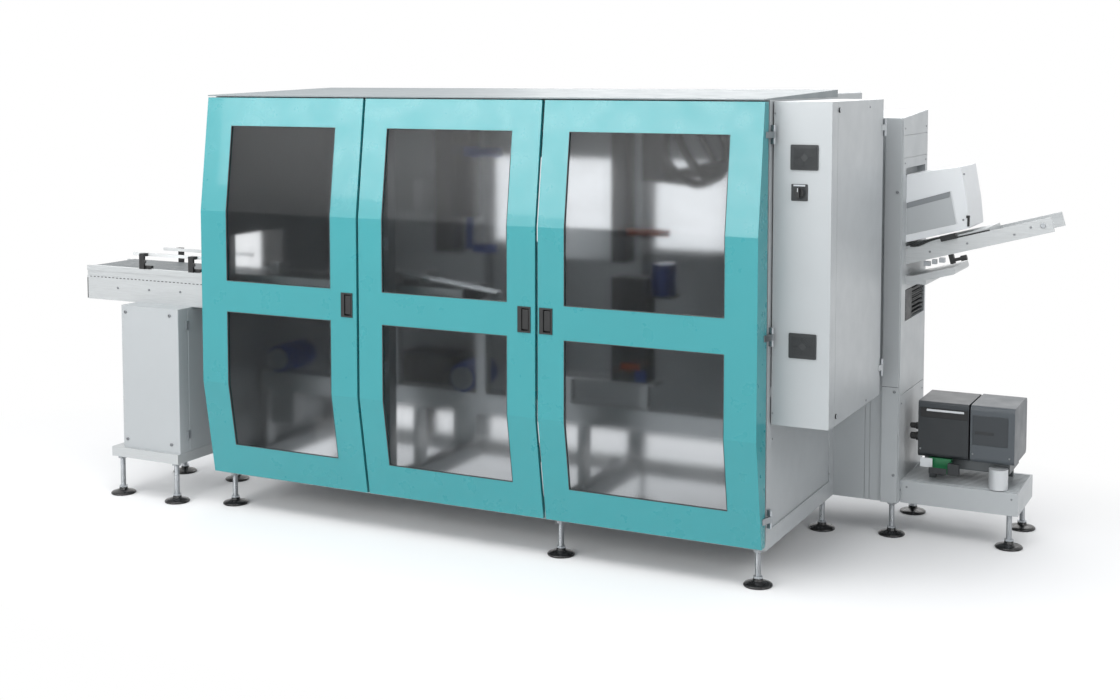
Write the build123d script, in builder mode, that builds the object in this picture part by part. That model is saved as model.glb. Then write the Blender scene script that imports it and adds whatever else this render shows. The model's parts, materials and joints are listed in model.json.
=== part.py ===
from build123d import *
from math import cos, radians, sin
import os

# Wraparound tray packer, in millimetres, +Z up, front towards -Y, product enters at -X.
# The origin is on the floor, below the middle of the overall box.

# Doors: one bulged profile of three flat facets, cut into three leaves
door_widths = (940, 960, 1040)
door_top_z = 2095
door_bottom_z = 185
bulge_top_z = 1530
bulge_bottom_z = 665
lean_top = 73
lean_bottom = 80
door_thick = 20
door_depth = 120
seam = 14
cheek_thick = 4

# Windows in the doors, measured from the outer edges of the opaque border
window_upper_z = (1183, door_top_z - 139)
window_lower_z = (door_bottom_z + 157, 1030)
window_inset = ((157, 156), (137, 150), (137, 146))
pane_thick = 5
pane_set = 7

# Recessed door pulls
pull_w = 66
pull_h = 118
pull_z = 1110
pull_depth = 18
pull_flange = 3
pull_from_edge = (29, 29, 15)

# Cabinet frame of square tube
frame_gap = 15
cabinet_depth = 995
base_z = 165
base_tube = 80
post = 60
roof_z = door_top_z + 6
roof_front = 6
roof_rise = 30
sheet = 3

# Infeed conveyor and its pedestal at the left end
infeed_reach = 910
infeed_setback = 150
infeed_width = 320
belt_z = 1190
belt_thick = 22
infeed_skirt_z = 1007
infeed_plate = 12
infeed_guide_reach = 620
infeed_bracket_reach = (545, 215)
infeed_bracket_w = 32
pedestal_w = 380
pedestal_gap = 194
pedestal_setback = 40
pedestal_depth = 520
pedestal_top_z = 1007
pedestal_base_z = (205, 255)
pedestal_toe = 62

# Electrical cabinet hung on the right end
ecab_gap = 6
ecab_width = 254
ecab_front = 171
ecab_depth = 824
ecab_z = (711, door_top_z)
ecab_flange = 83
ecab_door_thick = 22

# Magazine tower behind the electrical cabinet, and the housing behind the doors' cabinet
tower_width = 320
tower_front = 1130
tower_depth = 484
tower_front_z = door_top_z - 91
tower_rear_z = tower_front_z + 32
tower_slot_z = (tower_front_z - 277, tower_front_z - 238)
tower_grille_z = (1030, 1182)
tower_grille_y = (76, 462)
rear_housing_w = 490
rear_housing_depth = 425
rear_housing_z = roof_z + 23

# Magazine that climbs out of the tower
rail_tilt = 15.4
rail_z = 1341
rail_h = 68
rail_thick = 10
rail_end_x = 682
bed_end = 405
magazine_front = 1200
magazine_width = 330

# Glue platform and melter
platform_reach = 550
platform_front = 1172
platform_depth = 390
platform_z = (158, 266)
melter_z = (385, 655)
melter_w = 450
melter_depth = 320

# Mechanism seen through the windows, measured from the left end and the doors' front plane
bed_y = (430, 520)
bed_z = (545, 647)
motor_offsets = (147, 1267)
motor_r = 70
motor_len = 230
gearbox_x = (96, 241)
column_top_gap = 60
transfer_y = (210, 480)
transfer_z = (1085, 1190)
support_x = ((827, 881), (1341, 1395))
head_y = (560, 660)
head_x = ((1030, 1149), (1152, 1238), (2010, 2089), (2168, 2273))
head_low_z = (1317, 1499, 1316, 1708)
drive_box_x = (645, 988)
drive_box_y = (800, 1030)
drive_box_z = (576, 733)
shelf_x = (1766, 2283)
shelf_z = 770
reducer_x = (1205, 1335)
reducer_low_z = 400
feeder_x = (2060, 2240)
feeder_y = (455, 560)
feeder_top_z = 1264
feeder_bracket_z = 1175
guide_plate_x = (1724, 2010)
guide_plate_z = (1325, 1470)

# Levelling feet
pad_r = 64
pad_h = 34
spindle_r = 13

# Overall reaches, used to centre the machine over the origin
right_reach = sum(door_widths) + tower_width + rail_end_x
rear_reach = tower_front + tower_depth
left_x = (infeed_reach - right_reach) / 2
front_y = -(rear_reach - pull_flange) / 2

# Main planes
seam_x = [left_x + sum(door_widths[:i]) for i in range(4)]
right_x = seam_x[3]
frame_y = front_y + door_depth + frame_gap
rear_y = frame_y + cabinet_depth
base_top_z = base_z + base_tube
tower_x = right_x + tower_width
tower_y = front_y + tower_front
magazine_y = front_y + magazine_front
platform_y = front_y + platform_front


def block(x, y, z, mode=Mode.ADD):
    """Add or cut a box that lies between two values on each axis."""
    with Locations(((x[0] + x[1]) / 2, (y[0] + y[1]) / 2, (z[0] + z[1]) / 2)):
        Box(x[1] - x[0], y[1] - y[0], z[1] - z[0], mode=mode)


def save(piece, name):
    """Label a finished sub-part and write it as one STEP file."""
    piece.part.label = name
    export_step(piece.part, f"parts/{name}.step")


def facets(inset, thick):
    """Outline of a sheet that follows the bulged front, set back by inset, as (y, z) points."""
    line = [
        (front_y + lean_top, door_top_z),
        (front_y, bulge_top_z),
        (front_y, bulge_bottom_z),
        (front_y + lean_bottom, door_bottom_z),
    ]
    outer = [(y + inset, z) for y, z in line]
    inner = [(y + inset + thick, z) for y, z in reversed(line)]
    return outer + inner


os.makedirs("parts", exist_ok=True)

# Frame: long rails at base and top, cross rails between them and posts on the base
inner_y = (frame_y + base_tube, rear_y - base_tube)
base_cross_x = (left_x, seam_x[1] + 10, seam_x[2] - 30, right_x - base_tube)
top_cross_x = (left_x, seam_x[1] + 10, seam_x[2] - 30, right_x - post)
top_rail_z = (roof_z - post, roof_z)
hanger_y = (front_y + 580, front_y + 640)
with BuildPart() as long_rails:
    block((left_x, right_x), (frame_y, frame_y + base_tube), (base_z, base_top_z))
    block((left_x, right_x), (rear_y - base_tube, rear_y), (base_z, base_top_z))
    for y in (frame_y, rear_y - post):
        block((left_x, right_x), (y, y + post), top_rail_z)
    for low, high in zip(top_cross_x[:-1], top_cross_x[1:]):
        block((low + post, high), hanger_y, top_rail_z)
save(long_rails, "long_rails")

right_mid_z = (625, 690)
right_posts_y = (frame_y + post, rear_y - post)
with BuildPart() as cross_rails:
    for x in base_cross_x:
        block((x, x + base_tube), inner_y, (base_z, base_top_z))
    for x in top_cross_x:
        block((x, x + post), right_posts_y, top_rail_z)
    block((right_x - post, right_x), right_posts_y, right_mid_z)
save(cross_rails, "cross_rails")

seam_post_w = 80
post_w = (post, seam_post_w, seam_post_w, post)
with BuildPart() as cabinet_posts:
    for x, w in zip(top_cross_x, post_w):
        for y in (frame_y, rear_y - post):
            block((x, x + w), (y, y + post), (base_top_z, top_rail_z[0]))
save(cabinet_posts, "cabinet_posts")

# Roof sheet that rises towards the rear and reaches over the doors' tops
with BuildPart() as roof_panel:
    with BuildSketch(Plane.YZ.offset(left_x)):
        Polygon(
            (front_y + lean_top - 3, roof_z),
            (front_y + lean_top - 3, roof_z + roof_front),
            (rear_y, roof_z + roof_front + roof_rise),
            (rear_y, roof_z),
            align=None,
        )
    extrude(amount=right_x - left_x)
save(roof_panel, "roof_panel")

# Left end sheet with the infeed opening
infeed_y = (front_y + infeed_setback, front_y + infeed_setback + infeed_width)
tunnel_y = (frame_y + post, infeed_y[1] + 15)
tunnel_z = (belt_z - 75, belt_z + 190)
with BuildPart() as left_end_panel:
    block((left_x - sheet, left_x), (frame_y, rear_y), (base_z, roof_z))
    block((left_x - sheet, left_x), tunnel_y, tunnel_z, Mode.SUBTRACT)
save(left_end_panel, "left_end_panel")

# Right end: sheets above and below the middle rail
with BuildPart() as right_end_panel:
    block((right_x - 12, right_x - 8), right_posts_y, (base_top_z, right_mid_z[0]))
    block((right_x - 4, right_x), right_posts_y, (right_mid_z[1], top_rail_z[0]))
save(right_end_panel, "right_end_panel")

# Rear guards: plain sheets, two of them with a service window
rear_box_x = right_x - rear_housing_w
guard_edges = (left_x, left_x + 1000, seam_x[2], rear_box_x)
guard_z = (360, roof_z - 16)
guard_thick = 20
guard_window_z = (1325, 1776)
guard_window_x = ((guard_edges[1] + 60, guard_edges[2] - 60), (guard_edges[2] + 90, guard_edges[3] - 60))
with BuildPart() as rear_guards:
    for low, high in zip(guard_edges[:-1], guard_edges[1:]):
        block((low + seam / 2, high - seam / 2), (rear_y, rear_y + guard_thick), guard_z)
    for span in guard_window_x:
        block(span, (rear_y, rear_y + guard_thick), guard_window_z, Mode.SUBTRACT)
save(rear_guards, "rear_guards")

with BuildPart() as rear_guard_panes:
    for span in guard_window_x:
        block(span, (rear_y + 8, rear_y + 13), guard_window_z)
save(rear_guard_panes, "rear_guard_panes")

# Housing behind the right end of the cabinet, beside the tower
with BuildPart() as rear_housing:
    block((rear_box_x, right_x), (rear_y, rear_y + rear_housing_depth), (base_z, rear_housing_z))
    top_edges = rear_housing.part.edges().group_by(Axis.Z)[-1]
    chamfer(top_edges, length=6)
save(rear_housing, "rear_housing")

# Hinges: a moving knuckle between two fixed ones, on a fixed pin
knuckle_r = 7
pin_r = 3
pin_play = 0.05
knuckle_gap = 0.5
hinge_h = 80
hinge_out = 17
hinge_from_top = 139
hinge_from_bottom = 120
right_hinge_zs = (door_top_z - hinge_from_top, 1094, door_bottom_z + hinge_from_bottom)
left_hinge_zs = (door_top_z - hinge_from_top, 900, door_bottom_z + hinge_from_bottom)
hinge_y = frame_y + 10


def knuckle_spans(z):
    """Heights of the lower fixed, moving and upper fixed knuckles of a hinge centred at z."""
    third = hinge_h / 3
    low = (z - hinge_h / 2, z - third / 2 - knuckle_gap)
    mid = (z - third / 2, z + third / 2)
    high = (z + third / 2 + knuckle_gap, z + hinge_h / 2)
    return low, mid, high


def prism(points, pivot, radius, span):
    """Extrude a leaf outline joined to a round knuckle over a span of heights."""
    with BuildSketch(Plane.XY.offset(span[0])) as outline:
        Polygon(*points, align=None)
        with Locations(pivot):
            RegularPolygon(radius, 16)
    extrude(outline.sketch, amount=span[1] - span[0])


def pin(pivot, radius, span, mode=Mode.ADD):
    """Add or bore a vertical pin over a span of heights."""
    with BuildSketch(Plane.XY.offset(span[0])) as outline:
        with Locations(pivot):
            Circle(radius)
    extrude(outline.sketch, amount=span[1] - span[0], mode=mode)


def side_hinges(side):
    """Fixed half of the three hinges beside an outer door, side -1 at the left, 1 at the right."""
    edge = right_x if side > 0 else left_x - sheet
    hinge_zs = right_hinge_zs if side > 0 else left_hinge_zs
    pivot = (edge + side * hinge_out, hinge_y)
    leaf = [
        (edge, hinge_y - 4), (edge, hinge_y + 22), (edge + side * 3, hinge_y + 22),
        (pivot[0], hinge_y + 6), (pivot[0], hinge_y - 6),
    ]
    for z in hinge_zs:
        low, mid, high = knuckle_spans(z)
        for span in (low, high):
            prism(leaf, pivot, knuckle_r, span)
        pin(pivot, pin_r, (low[0], high[1]))


# Middle door: two hidden hinges on arms that reach forward from its post
middle_pivot = (seam_x[1] + seam / 2 + 62, front_y + 34)
middle_knuckle_r = 8
middle_hinge_zs = (1400, 800)
middle_hinge_h = 40
arm_z = 14


def middle_hinge_arms():
    """Fixed arms, pins and foot plates of the middle door's hidden hinges."""
    half = middle_knuckle_r
    arm = [
        (middle_pivot[0] - half, middle_pivot[1]), (middle_pivot[0] + half, middle_pivot[1]),
        (middle_pivot[0] + half, frame_y), (middle_pivot[0] - half, frame_y),
    ]
    reach = middle_hinge_h / 2 + knuckle_gap
    for z in middle_hinge_zs:
        low = (z - reach - arm_z, z - reach)
        high = (z + reach, z + reach + arm_z)
        for span in (low, high):
            prism(arm, middle_pivot, middle_knuckle_r, span)
        pin(middle_pivot, pin_r, (low[0], high[1]))
        block((middle_pivot[0] - 12, middle_pivot[0] + 12), (frame_y - 6, frame_y),
              (low[0], high[1]))


def door_windows(i):
    """Low and high X of the windows in door i."""
    low = seam_x[i] + window_inset[i][0]
    high = seam_x[i + 1] - window_inset[i][1]
    return low, high


def door(i):
    """Door leaf i: bulged sheet with two windows, a pull cut-out and its hinge knuckles."""
    x0 = seam_x[i] + (seam / 2 if i > 0 else 0)
    x1 = seam_x[i + 1] - (seam / 2 if i < 2 else 0)
    wx = door_windows(i)
    with BuildPart() as leaf:
        with BuildSketch(Plane.YZ.offset(x0)):
            Polygon(*facets(0, door_thick), align=None)
        extrude(amount=x1 - x0)
        for z in (window_upper_z, window_lower_z):
            block(wx, (front_y - 10, front_y + door_depth), z, Mode.SUBTRACT)
        px = pull_x(i)
        block((px - pull_w / 2 + 4, px + pull_w / 2 - 4), (front_y - 1, front_y + door_thick + 1),
              (pull_z - pull_h / 2 + 4, pull_z + pull_h / 2 - 4), Mode.SUBTRACT)
        if i != 1:
            cheek_x = x0 if i == 0 else x1 - cheek_thick
            edge = facets(door_thick, 0)[:4]
            back = front_y + door_depth
            with BuildSketch(Plane.YZ.offset(cheek_x)):
                Polygon(*edge, (back, door_bottom_z), (back, door_top_z), align=None)
            extrude(amount=cheek_thick)
            outer_hinge_leaf(-1 if i == 0 else 1)
        else:
            middle_knuckles()
    return leaf


def pull_x(i):
    """Middle of door i's pull: doors 0 and 1 at their right edge, door 2 at its left."""
    if i < 2:
        return seam_x[i + 1] - pull_from_edge[i] - pull_w / 2
    return seam_x[2] + pull_from_edge[2] + pull_w / 2


def outer_hinge_leaf(side):
    """Moving leaves and knuckles on the cheek of an outer door."""
    edge = right_x if side > 0 else left_x
    hinge_zs = right_hinge_zs if side > 0 else left_hinge_zs
    pivot = (right_x + hinge_out if side > 0 else left_x - sheet - hinge_out, hinge_y)
    leaf = [
        (edge, front_y + 80), (edge + side * 4, front_y + 80),
        (pivot[0] + side * 4, hinge_y - 5), (pivot[0] - side * 4, hinge_y + 2),
        (edge, front_y + door_depth),
    ]
    for z in hinge_zs:
        mid = knuckle_spans(z)[1]
        prism(leaf, pivot, knuckle_r, mid)
        pin(pivot, pin_r + pin_play, mid, Mode.SUBTRACT)


def middle_knuckles():
    """Moving knuckles welded to the back of the middle door."""
    for z in middle_hinge_zs:
        span = (z - middle_hinge_h / 2, z + middle_hinge_h / 2)
        web = [
            (middle_pivot[0] - 6, front_y + door_thick), (middle_pivot[0] + 6, front_y + door_thick),
            (middle_pivot[0] + 6, middle_pivot[1]), (middle_pivot[0] - 6, middle_pivot[1]),
        ]
        prism(web, middle_pivot, middle_knuckle_r, span)
        pin(middle_pivot, pin_r + pin_play, span, Mode.SUBTRACT)


def panes(i):
    """The two tinted panes of door i, bent like the door they sit in."""
    wx = door_windows(i)
    with BuildPart() as sheets:
        with BuildSketch(Plane.YZ.offset(wx[0])):
            Polygon(*facets(pane_set, pane_thick), align=None)
        extrude(amount=wx[1] - wx[0])
        y = (front_y - 10, front_y + door_depth + 60)
        block(wx, y, (window_lower_z[1], window_upper_z[0]), Mode.SUBTRACT)
        block(wx, y, (window_upper_z[1], door_top_z + 10), Mode.SUBTRACT)
        block(wx, y, (door_bottom_z - 10, window_lower_z[0]), Mode.SUBTRACT)
    return sheets


def pull(i):
    """Recessed pull: a flange on the door's face, a cup behind it and a grip lip."""
    x = pull_x(i)
    half_w = pull_w / 2
    half_h = pull_h / 2
    with BuildPart() as grip:
        block((x - half_w, x + half_w), (front_y - pull_flange, front_y),
              (pull_z - half_h, pull_z + half_h))
        block((x - half_w + 4, x + half_w - 4), (front_y, front_y + door_thick),
              (pull_z - half_h + 4, pull_z + half_h - 4))
        block((x - half_w + 8, x + half_w - 8), (front_y - pull_flange, front_y + pull_depth - 3),
              (pull_z - half_h + 8, pull_z + half_h - 8), Mode.SUBTRACT)
        block((x - half_w + 8, x - half_w + 20), (front_y - pull_flange, front_y),
              (pull_z - half_h + 8, pull_z + half_h - 8))
    return grip


door_names = ("left", "middle", "right")
for i, name in enumerate(door_names):
    save(door(i), f"{name}_door")
    save(panes(i), f"{name}_door_panes")
    save(pull(i), f"{name}_door_pull")

# Infeed conveyor: two side plates, an endless belt round two rollers, and guide rails
infeed_x = (left_x - infeed_reach, left_x - sheet)
roller_r = 40
roller_z = belt_z - belt_thick - roller_r
with BuildPart() as infeed_side_plates:
    for y in ((infeed_y[0], infeed_y[0] + infeed_plate), (infeed_y[1] - infeed_plate, infeed_y[1])):
        block(infeed_x, y, (infeed_skirt_z, belt_z - 58))
        block(infeed_x, y, (belt_z - 30, belt_z - 4))
        block(infeed_x, (y[0] + 4, y[1] - 4), (belt_z - 58, belt_z - 30))
save(infeed_side_plates, "infeed_side_plates")

belt_y = (infeed_y[0] + infeed_plate + 6, infeed_y[1] - infeed_plate - 6)
roller_x = (infeed_x[0] + roller_r + belt_thick + 4, infeed_x[1] - roller_r - belt_thick - 4)


def belt_loop(x, z, radius):
    """Long rounded outline round two rollers in the XZ plane."""
    with Locations(((x[0] + x[1]) / 2, z)):
        SlotCenterToCenter(x[1] - x[0], 2 * radius)


with BuildPart() as infeed_belt:
    with BuildSketch(Plane.XZ.offset(-belt_y[0])):
        belt_loop(roller_x, roller_z, roller_r + belt_thick)
        with Locations(((roller_x[0] + roller_x[1]) / 2, roller_z)):
            SlotCenterToCenter(roller_x[1] - roller_x[0], 2 * roller_r, mode=Mode.SUBTRACT)
    extrude(amount=-(belt_y[1] - belt_y[0]))
save(infeed_belt, "infeed_belt")

with BuildPart() as infeed_rollers:
    for x in roller_x:
        with BuildSketch(Plane.XZ.offset(-belt_y[0])):
            with Locations((x, roller_z)):
                Circle(roller_r)
        extrude(amount=-(belt_y[1] - belt_y[0]))
        with BuildSketch(Plane.XZ.offset(-infeed_y[0] - infeed_plate)):
            with Locations((x, roller_z)):
                Circle(12)
        extrude(amount=-(infeed_width - 2 * infeed_plate))
save(infeed_rollers, "infeed_rollers")

guide_z = belt_z + 62
guide_x = (left_x - infeed_guide_reach, infeed_x[1] - 10)
with BuildPart() as infeed_guide_rails:
    for y in (infeed_y[0] + 40, infeed_y[1] - 40):
        block(guide_x, (y - 5, y + 5), (guide_z, guide_z + 16))
save(infeed_guide_rails, "infeed_guide_rails")

bracket_x = [left_x - reach for reach in infeed_bracket_reach]
with BuildPart() as infeed_guide_brackets:
    for x in bracket_x:
        for y, out in ((infeed_y[0], 1), (infeed_y[1], -1)):
            near = sorted((y, y + out * infeed_plate))
            reach = sorted((y, y + out * 35))
            block((x, x + infeed_bracket_w), near, (belt_z - 4, guide_z + 16))
            block((x, x + infeed_bracket_w), reach, (guide_z, guide_z + 16))
save(infeed_guide_brackets, "infeed_guide_brackets")

# Pedestal under the infeed
pedestal_x = (left_x - pedestal_gap - pedestal_w, left_x - pedestal_gap)
pedestal_y = (front_y + pedestal_setback, front_y + pedestal_setback + pedestal_depth)
with BuildPart() as infeed_pedestal:
    block(pedestal_x, pedestal_y, (pedestal_base_z[1], pedestal_top_z))
    fillet(infeed_pedestal.part.edges().filter_by(Axis.Z), radius=5)
save(infeed_pedestal, "infeed_pedestal")

with BuildPart() as pedestal_base:
    block((pedestal_x[0] - pedestal_toe, pedestal_x[1] + 2),
          (pedestal_y[0] - 20, pedestal_y[1] + 20), pedestal_base_z)
save(pedestal_base, "pedestal_base")

# Electrical cabinet: a shell that opens towards the right end
ecab_x = (right_x + ecab_gap, right_x + ecab_gap + ecab_width)
ecab_y = (front_y + ecab_front, front_y + ecab_front + ecab_depth)
ecab_door_x = (ecab_x[1] - ecab_door_thick, ecab_x[1])
ecab_door_y = (ecab_y[0] + ecab_flange + 2, ecab_y[1] - 8)
with BuildPart() as electrical_cabinet:
    block(ecab_x, ecab_y, ecab_z)
    block((ecab_x[0] + sheet, ecab_x[1] - sheet),
          (ecab_y[0] + sheet, ecab_y[1] - sheet), (ecab_z[0] + sheet, ecab_z[1] - sheet),
          Mode.SUBTRACT)
    block((ecab_door_x[0] - 3, ecab_x[1] + 1), (ecab_y[0] + ecab_flange, ecab_y[1] + 1),
          (ecab_z[0] - 1, ecab_z[1] + 1), Mode.SUBTRACT)
    for z in (ecab_z[0] + 120, ecab_z[1] - 160):
        block((right_x, ecab_x[0]), (ecab_y[0] + 4, ecab_y[1] - 4), (z, z + 40))
save(electrical_cabinet, "electrical_cabinet")

with BuildPart() as electrical_mounting_plate:
    block((ecab_x[0] + sheet, ecab_x[0] + sheet + 18), (ecab_y[0] + 60, ecab_y[1] - 60),
          (ecab_z[0] + 60, ecab_z[1] - 60))
save(electrical_mounting_plate, "electrical_mounting_plate")

ecab_pivot = (ecab_x[1] + 7, ecab_door_y[1] + 6)
ecab_hinge_zs = (ecab_z[0] + 130, ecab_z[1] - 130)
with BuildPart() as electrical_door:
    block(ecab_door_x, ecab_door_y, ecab_z)
    block((ecab_door_x[0], ecab_door_x[1] - 2), (ecab_door_y[0] + 2, ecab_door_y[1] - 2),
          (ecab_z[0] + 2, ecab_z[1] - 2), Mode.SUBTRACT)
    for z in ecab_hinge_zs:
        mid = knuckle_spans(z)[1]
        leaf = [
            (ecab_x[1] - 2, ecab_door_y[1] - 30), (ecab_x[1] + 3, ecab_door_y[1] - 30),
            (ecab_pivot[0] + 3, ecab_pivot[1] - 4), (ecab_pivot[0] - 4, ecab_pivot[1] - 3),
            (ecab_x[1], ecab_door_y[1]), (ecab_x[1] - 2, ecab_door_y[1]),
        ]
        prism(leaf, ecab_pivot, knuckle_r, mid)
        pin(ecab_pivot, pin_r + pin_play, mid, Mode.SUBTRACT)
save(electrical_door, "electrical_door")



def electrical_hinges():
    """Fixed leaves, knuckles and pins behind the electrical cabinet's door."""
    leaf = [
        (ecab_x[1] - 40, ecab_y[1]), (ecab_x[1] - 40, ecab_y[1] + 3),
        (ecab_pivot[0], ecab_pivot[1] + 6), (ecab_pivot[0], ecab_pivot[1] - 4),
        (ecab_x[1] - 20, ecab_y[1]),
    ]
    for z in ecab_hinge_zs:
        low, mid, high = knuckle_spans(z)
        for span in (low, high):
            prism(leaf, ecab_pivot, knuckle_r, span)
        pin(ecab_pivot, pin_r, (low[0], high[1]))


with BuildPart() as door_hinge_fixings:
    side_hinges(-1)
    side_hinges(1)
    middle_hinge_arms()
    electrical_hinges()
save(door_hinge_fixings, "door_hinge_fixings")

with BuildPart() as electrical_door_locks:
    for z in (ecab_z[0] + 41, ecab_z[1] - 36):
        with BuildSketch(Plane.YZ.offset(ecab_x[1])):
            with Locations((ecab_door_y[0] + 15, z)):
                Circle(11)
        extrude(amount=5)
save(electrical_door_locks, "electrical_door_locks")

# Filter grilles and main switch on the cabinet's front
filter_size = (120, 107)
filter_centres = ((ecab_x[0] + 136, ecab_z[1] - 234), (ecab_x[0] + 136, ecab_z[0] + 350))
with BuildPart() as filter_grilles:
    for x, z in filter_centres:
        with BuildSketch(Plane.XZ.offset(-ecab_y[0])):
            with Locations((x, z)):
                RectangleRounded(filter_size[0], filter_size[1], 5)
        extrude(amount=6)
        with BuildSketch(Plane.XZ.offset(-ecab_y[0] + 6)):
            with Locations((x, z)):
                RectangleRounded(filter_size[0] - 16, filter_size[1] - 16, 3)
        extrude(amount=3)
save(filter_grilles, "filter_grilles")

switch_at = (ecab_x[0] + 116, ecab_z[1] - 382)
with BuildPart() as main_switch_plate:
    with BuildSketch(Plane.XZ.offset(-ecab_y[0])):
        with Locations(switch_at):
            RectangleRounded(71, 71, 4)
    extrude(amount=4)
    with BuildSketch(Plane.XZ.offset(-ecab_y[0] + 4)):
        with Locations(switch_at):
            Circle(25)
            Circle(4.05, mode=Mode.SUBTRACT)
    extrude(amount=8)
save(main_switch_plate, "main_switch_plate")

with BuildPart() as main_switch_knob:
    with BuildSketch(Plane.XZ.offset(-ecab_y[0] + 4)):
        with Locations(switch_at):
            Circle(4)
    extrude(amount=12)
    with BuildSketch(Plane.XZ.offset(-ecab_y[0] + 12.5)):
        with Locations(switch_at):
            Circle(21)
    extrude(amount=5)
    with BuildSketch(Plane.XZ.offset(-ecab_y[0] + 17.5)):
        with Locations(switch_at):
            RectangleRounded(14, 44, 4)
    extrude(amount=13)
save(main_switch_knob, "main_switch_knob")

# Tower: a tall housing whose top rises towards the rear, with panel seams, a slot and a grille
seam_cut = 3
tower_front_seams = (154, 178)
with BuildPart() as tower_body:
    with BuildSketch(Plane.YZ.offset(right_x)):
        Polygon(
            (tower_y, base_z), (tower_y, tower_front_z),
            (tower_y + tower_depth, tower_rear_z), (tower_y + tower_depth, base_z),
            align=None,
        )
    extrude(amount=tower_width)
    block((tower_x - 40, tower_x), (tower_y + 57, tower_y + tower_depth - 42), tower_slot_z,
          Mode.SUBTRACT)
    block((tower_x - 60, tower_x), (tower_y + tower_grille_y[0], tower_y + tower_grille_y[1]),
          tower_grille_z, Mode.SUBTRACT)
    for x in tower_front_seams:
        block((right_x + x, right_x + x + seam_cut), (tower_y, tower_y + seam_cut),
              (base_z, tower_front_z), Mode.SUBTRACT)
    for z in (tower_front_z - 83, tower_front_z - 191, 680):
        block((tower_x - seam_cut, tower_x), (tower_y + 20, tower_y + tower_depth - 20),
              (z, z + seam_cut), Mode.SUBTRACT)
save(tower_body, "tower_body")

with BuildPart() as tower_grille:
    y = (tower_y + tower_grille_y[0], tower_y + tower_grille_y[1])
    block((tower_x - 30, tower_x - 26), y, tower_grille_z)
    block((tower_x - 26, tower_x - 2), (y[0] + 130, y[0] + 138), tower_grille_z)
    for k in range(6):
        z = tower_grille_z[0] + 12 + k * 23
        block((tower_x - 26, tower_x - 8), (y[0] + 138, y[1]), (z, z + 6))
save(tower_grille, "tower_grille")

with BuildPart() as tower_post:
    block((tower_x - 82, tower_x - 4), (tower_y - 14, tower_y), (base_z, tower_front_z))
    fillet(tower_post.part.edges().filter_by(Axis.Y).group_by(Axis.Z)[-1], radius=14)
save(tower_post, "tower_post")

# Magazine: tilted side rails with a bed between them, under a hood that joins the tower
rail_run = (cos(radians(rail_tilt)), 0, sin(radians(rail_tilt)))
rail_plane = Plane(origin=(tower_x, magazine_y, rail_z), x_dir=rail_run, z_dir=(0, -1, 0))
rail_reach = (rail_end_x - rail_h / 2 * sin(radians(rail_tilt))) / cos(radians(rail_tilt))


def tilted(u, v, y, mode=Mode.ADD):
    """Add or cut a bar along the rails: u along them, v across them, y back from their front."""
    with BuildSketch(rail_plane.offset(-y[0])) as outline:
        with Locations(((u[0] + u[1]) / 2, (v[0] + v[1]) / 2)):
            Rectangle(u[1] - u[0], v[1] - v[0])
    extrude(outline.sketch, amount=-(y[1] - y[0]), mode=mode)


rail_v = (-rail_h / 2, rail_h / 2)
with BuildPart() as magazine_rails:
    for y in (0, magazine_width - rail_thick):
        tilted((-20, rail_reach), rail_v, (y, y + rail_thick))
    split(bisect_by=Plane.YZ.offset(tower_x), keep=Keep.TOP)
save(magazine_rails, "magazine_rails")

bed_depth = (rail_thick, magazine_width - rail_thick)
with BuildPart() as magazine_bed:
    tilted((-20, bed_end), (4, 48), bed_depth)
    tilted((60, rail_reach - 60), (-24, -18), bed_depth)
    split(bisect_by=Plane.YZ.offset(tower_x), keep=Keep.TOP)
save(magazine_bed, "magazine_bed")

hood_outline = ((0, 1411), (0, 1735), (103, 1753), (255, 1778), (284, 1620), (298, 1492))
with BuildPart() as magazine_hood:
    with BuildSketch(Plane.XZ.offset(-magazine_y)):
        Polygon(*[(tower_x + x, z) for x, z in hood_outline], align=None)
    extrude(amount=-magazine_width)
    fillet(magazine_hood.part.edges().filter_by(Axis.Y).group_by(Axis.X)[-1], radius=8)
save(magazine_hood, "magazine_hood")

with BuildPart() as magazine_clamp:
    tilted((187, 262), (rail_v[1], rail_v[1] + 26), (-20, rail_thick))
    tilted((262, 415), (rail_v[1], rail_v[1] + 7), (0, rail_thick))
    tilted((200, 222), (rail_v[0] - 46, rail_v[0]), (0, 24))
    with BuildSketch(Plane(rail_plane.from_local_coords((222, rail_v[0] - 30, -12)), x_dir=(0, 1, 0),
                           z_dir=rail_run)):
        Circle(8)
    extrude(amount=30)
    with BuildSketch(Plane(rail_plane.from_local_coords((252, rail_v[0] - 30, -12)), x_dir=(0, 1, 0),
                           z_dir=rail_run)):
        Circle(13)
    extrude(amount=28)
save(magazine_clamp, "magazine_clamp")

with BuildPart() as magazine_tray:
    tilted((-40, 212), (rail_v[0] - 96, rail_v[0] - 62), (10, magazine_width - 20))
    fillet(magazine_tray.part.edges().filter_by(Axis.Y).group_by(Axis.X)[-1], radius=14)
    block((tower_x, tower_x + 98), (magazine_y + 10, magazine_y + magazine_width - 20),
          (1212, 1250))
    split(bisect_by=Plane.YZ.offset(tower_x), keep=Keep.TOP)
save(magazine_tray, "magazine_tray")

# Glue platform: a folded tray with ribs along its top
platform_x = (tower_x, tower_x + platform_reach)
rib_pitch = 24
rib_h = 5
rib_count = int((platform_depth - 30) / rib_pitch)
with BuildPart() as glue_platform:
    block(platform_x, (platform_y, platform_y + platform_depth), platform_z)
    block((platform_x[0] + sheet, platform_x[1] - sheet),
          (platform_y + sheet, platform_y + platform_depth - sheet),
          (platform_z[0] - 1, platform_z[1] - 20), Mode.SUBTRACT)
    for k in range(rib_count):
        y = platform_y + 15 + k * rib_pitch
        block((platform_x[0] + 6, platform_x[1] - 8), (y, y + 8),
              (platform_z[1], platform_z[1] + rib_h))
save(glue_platform, "glue_platform")

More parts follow.
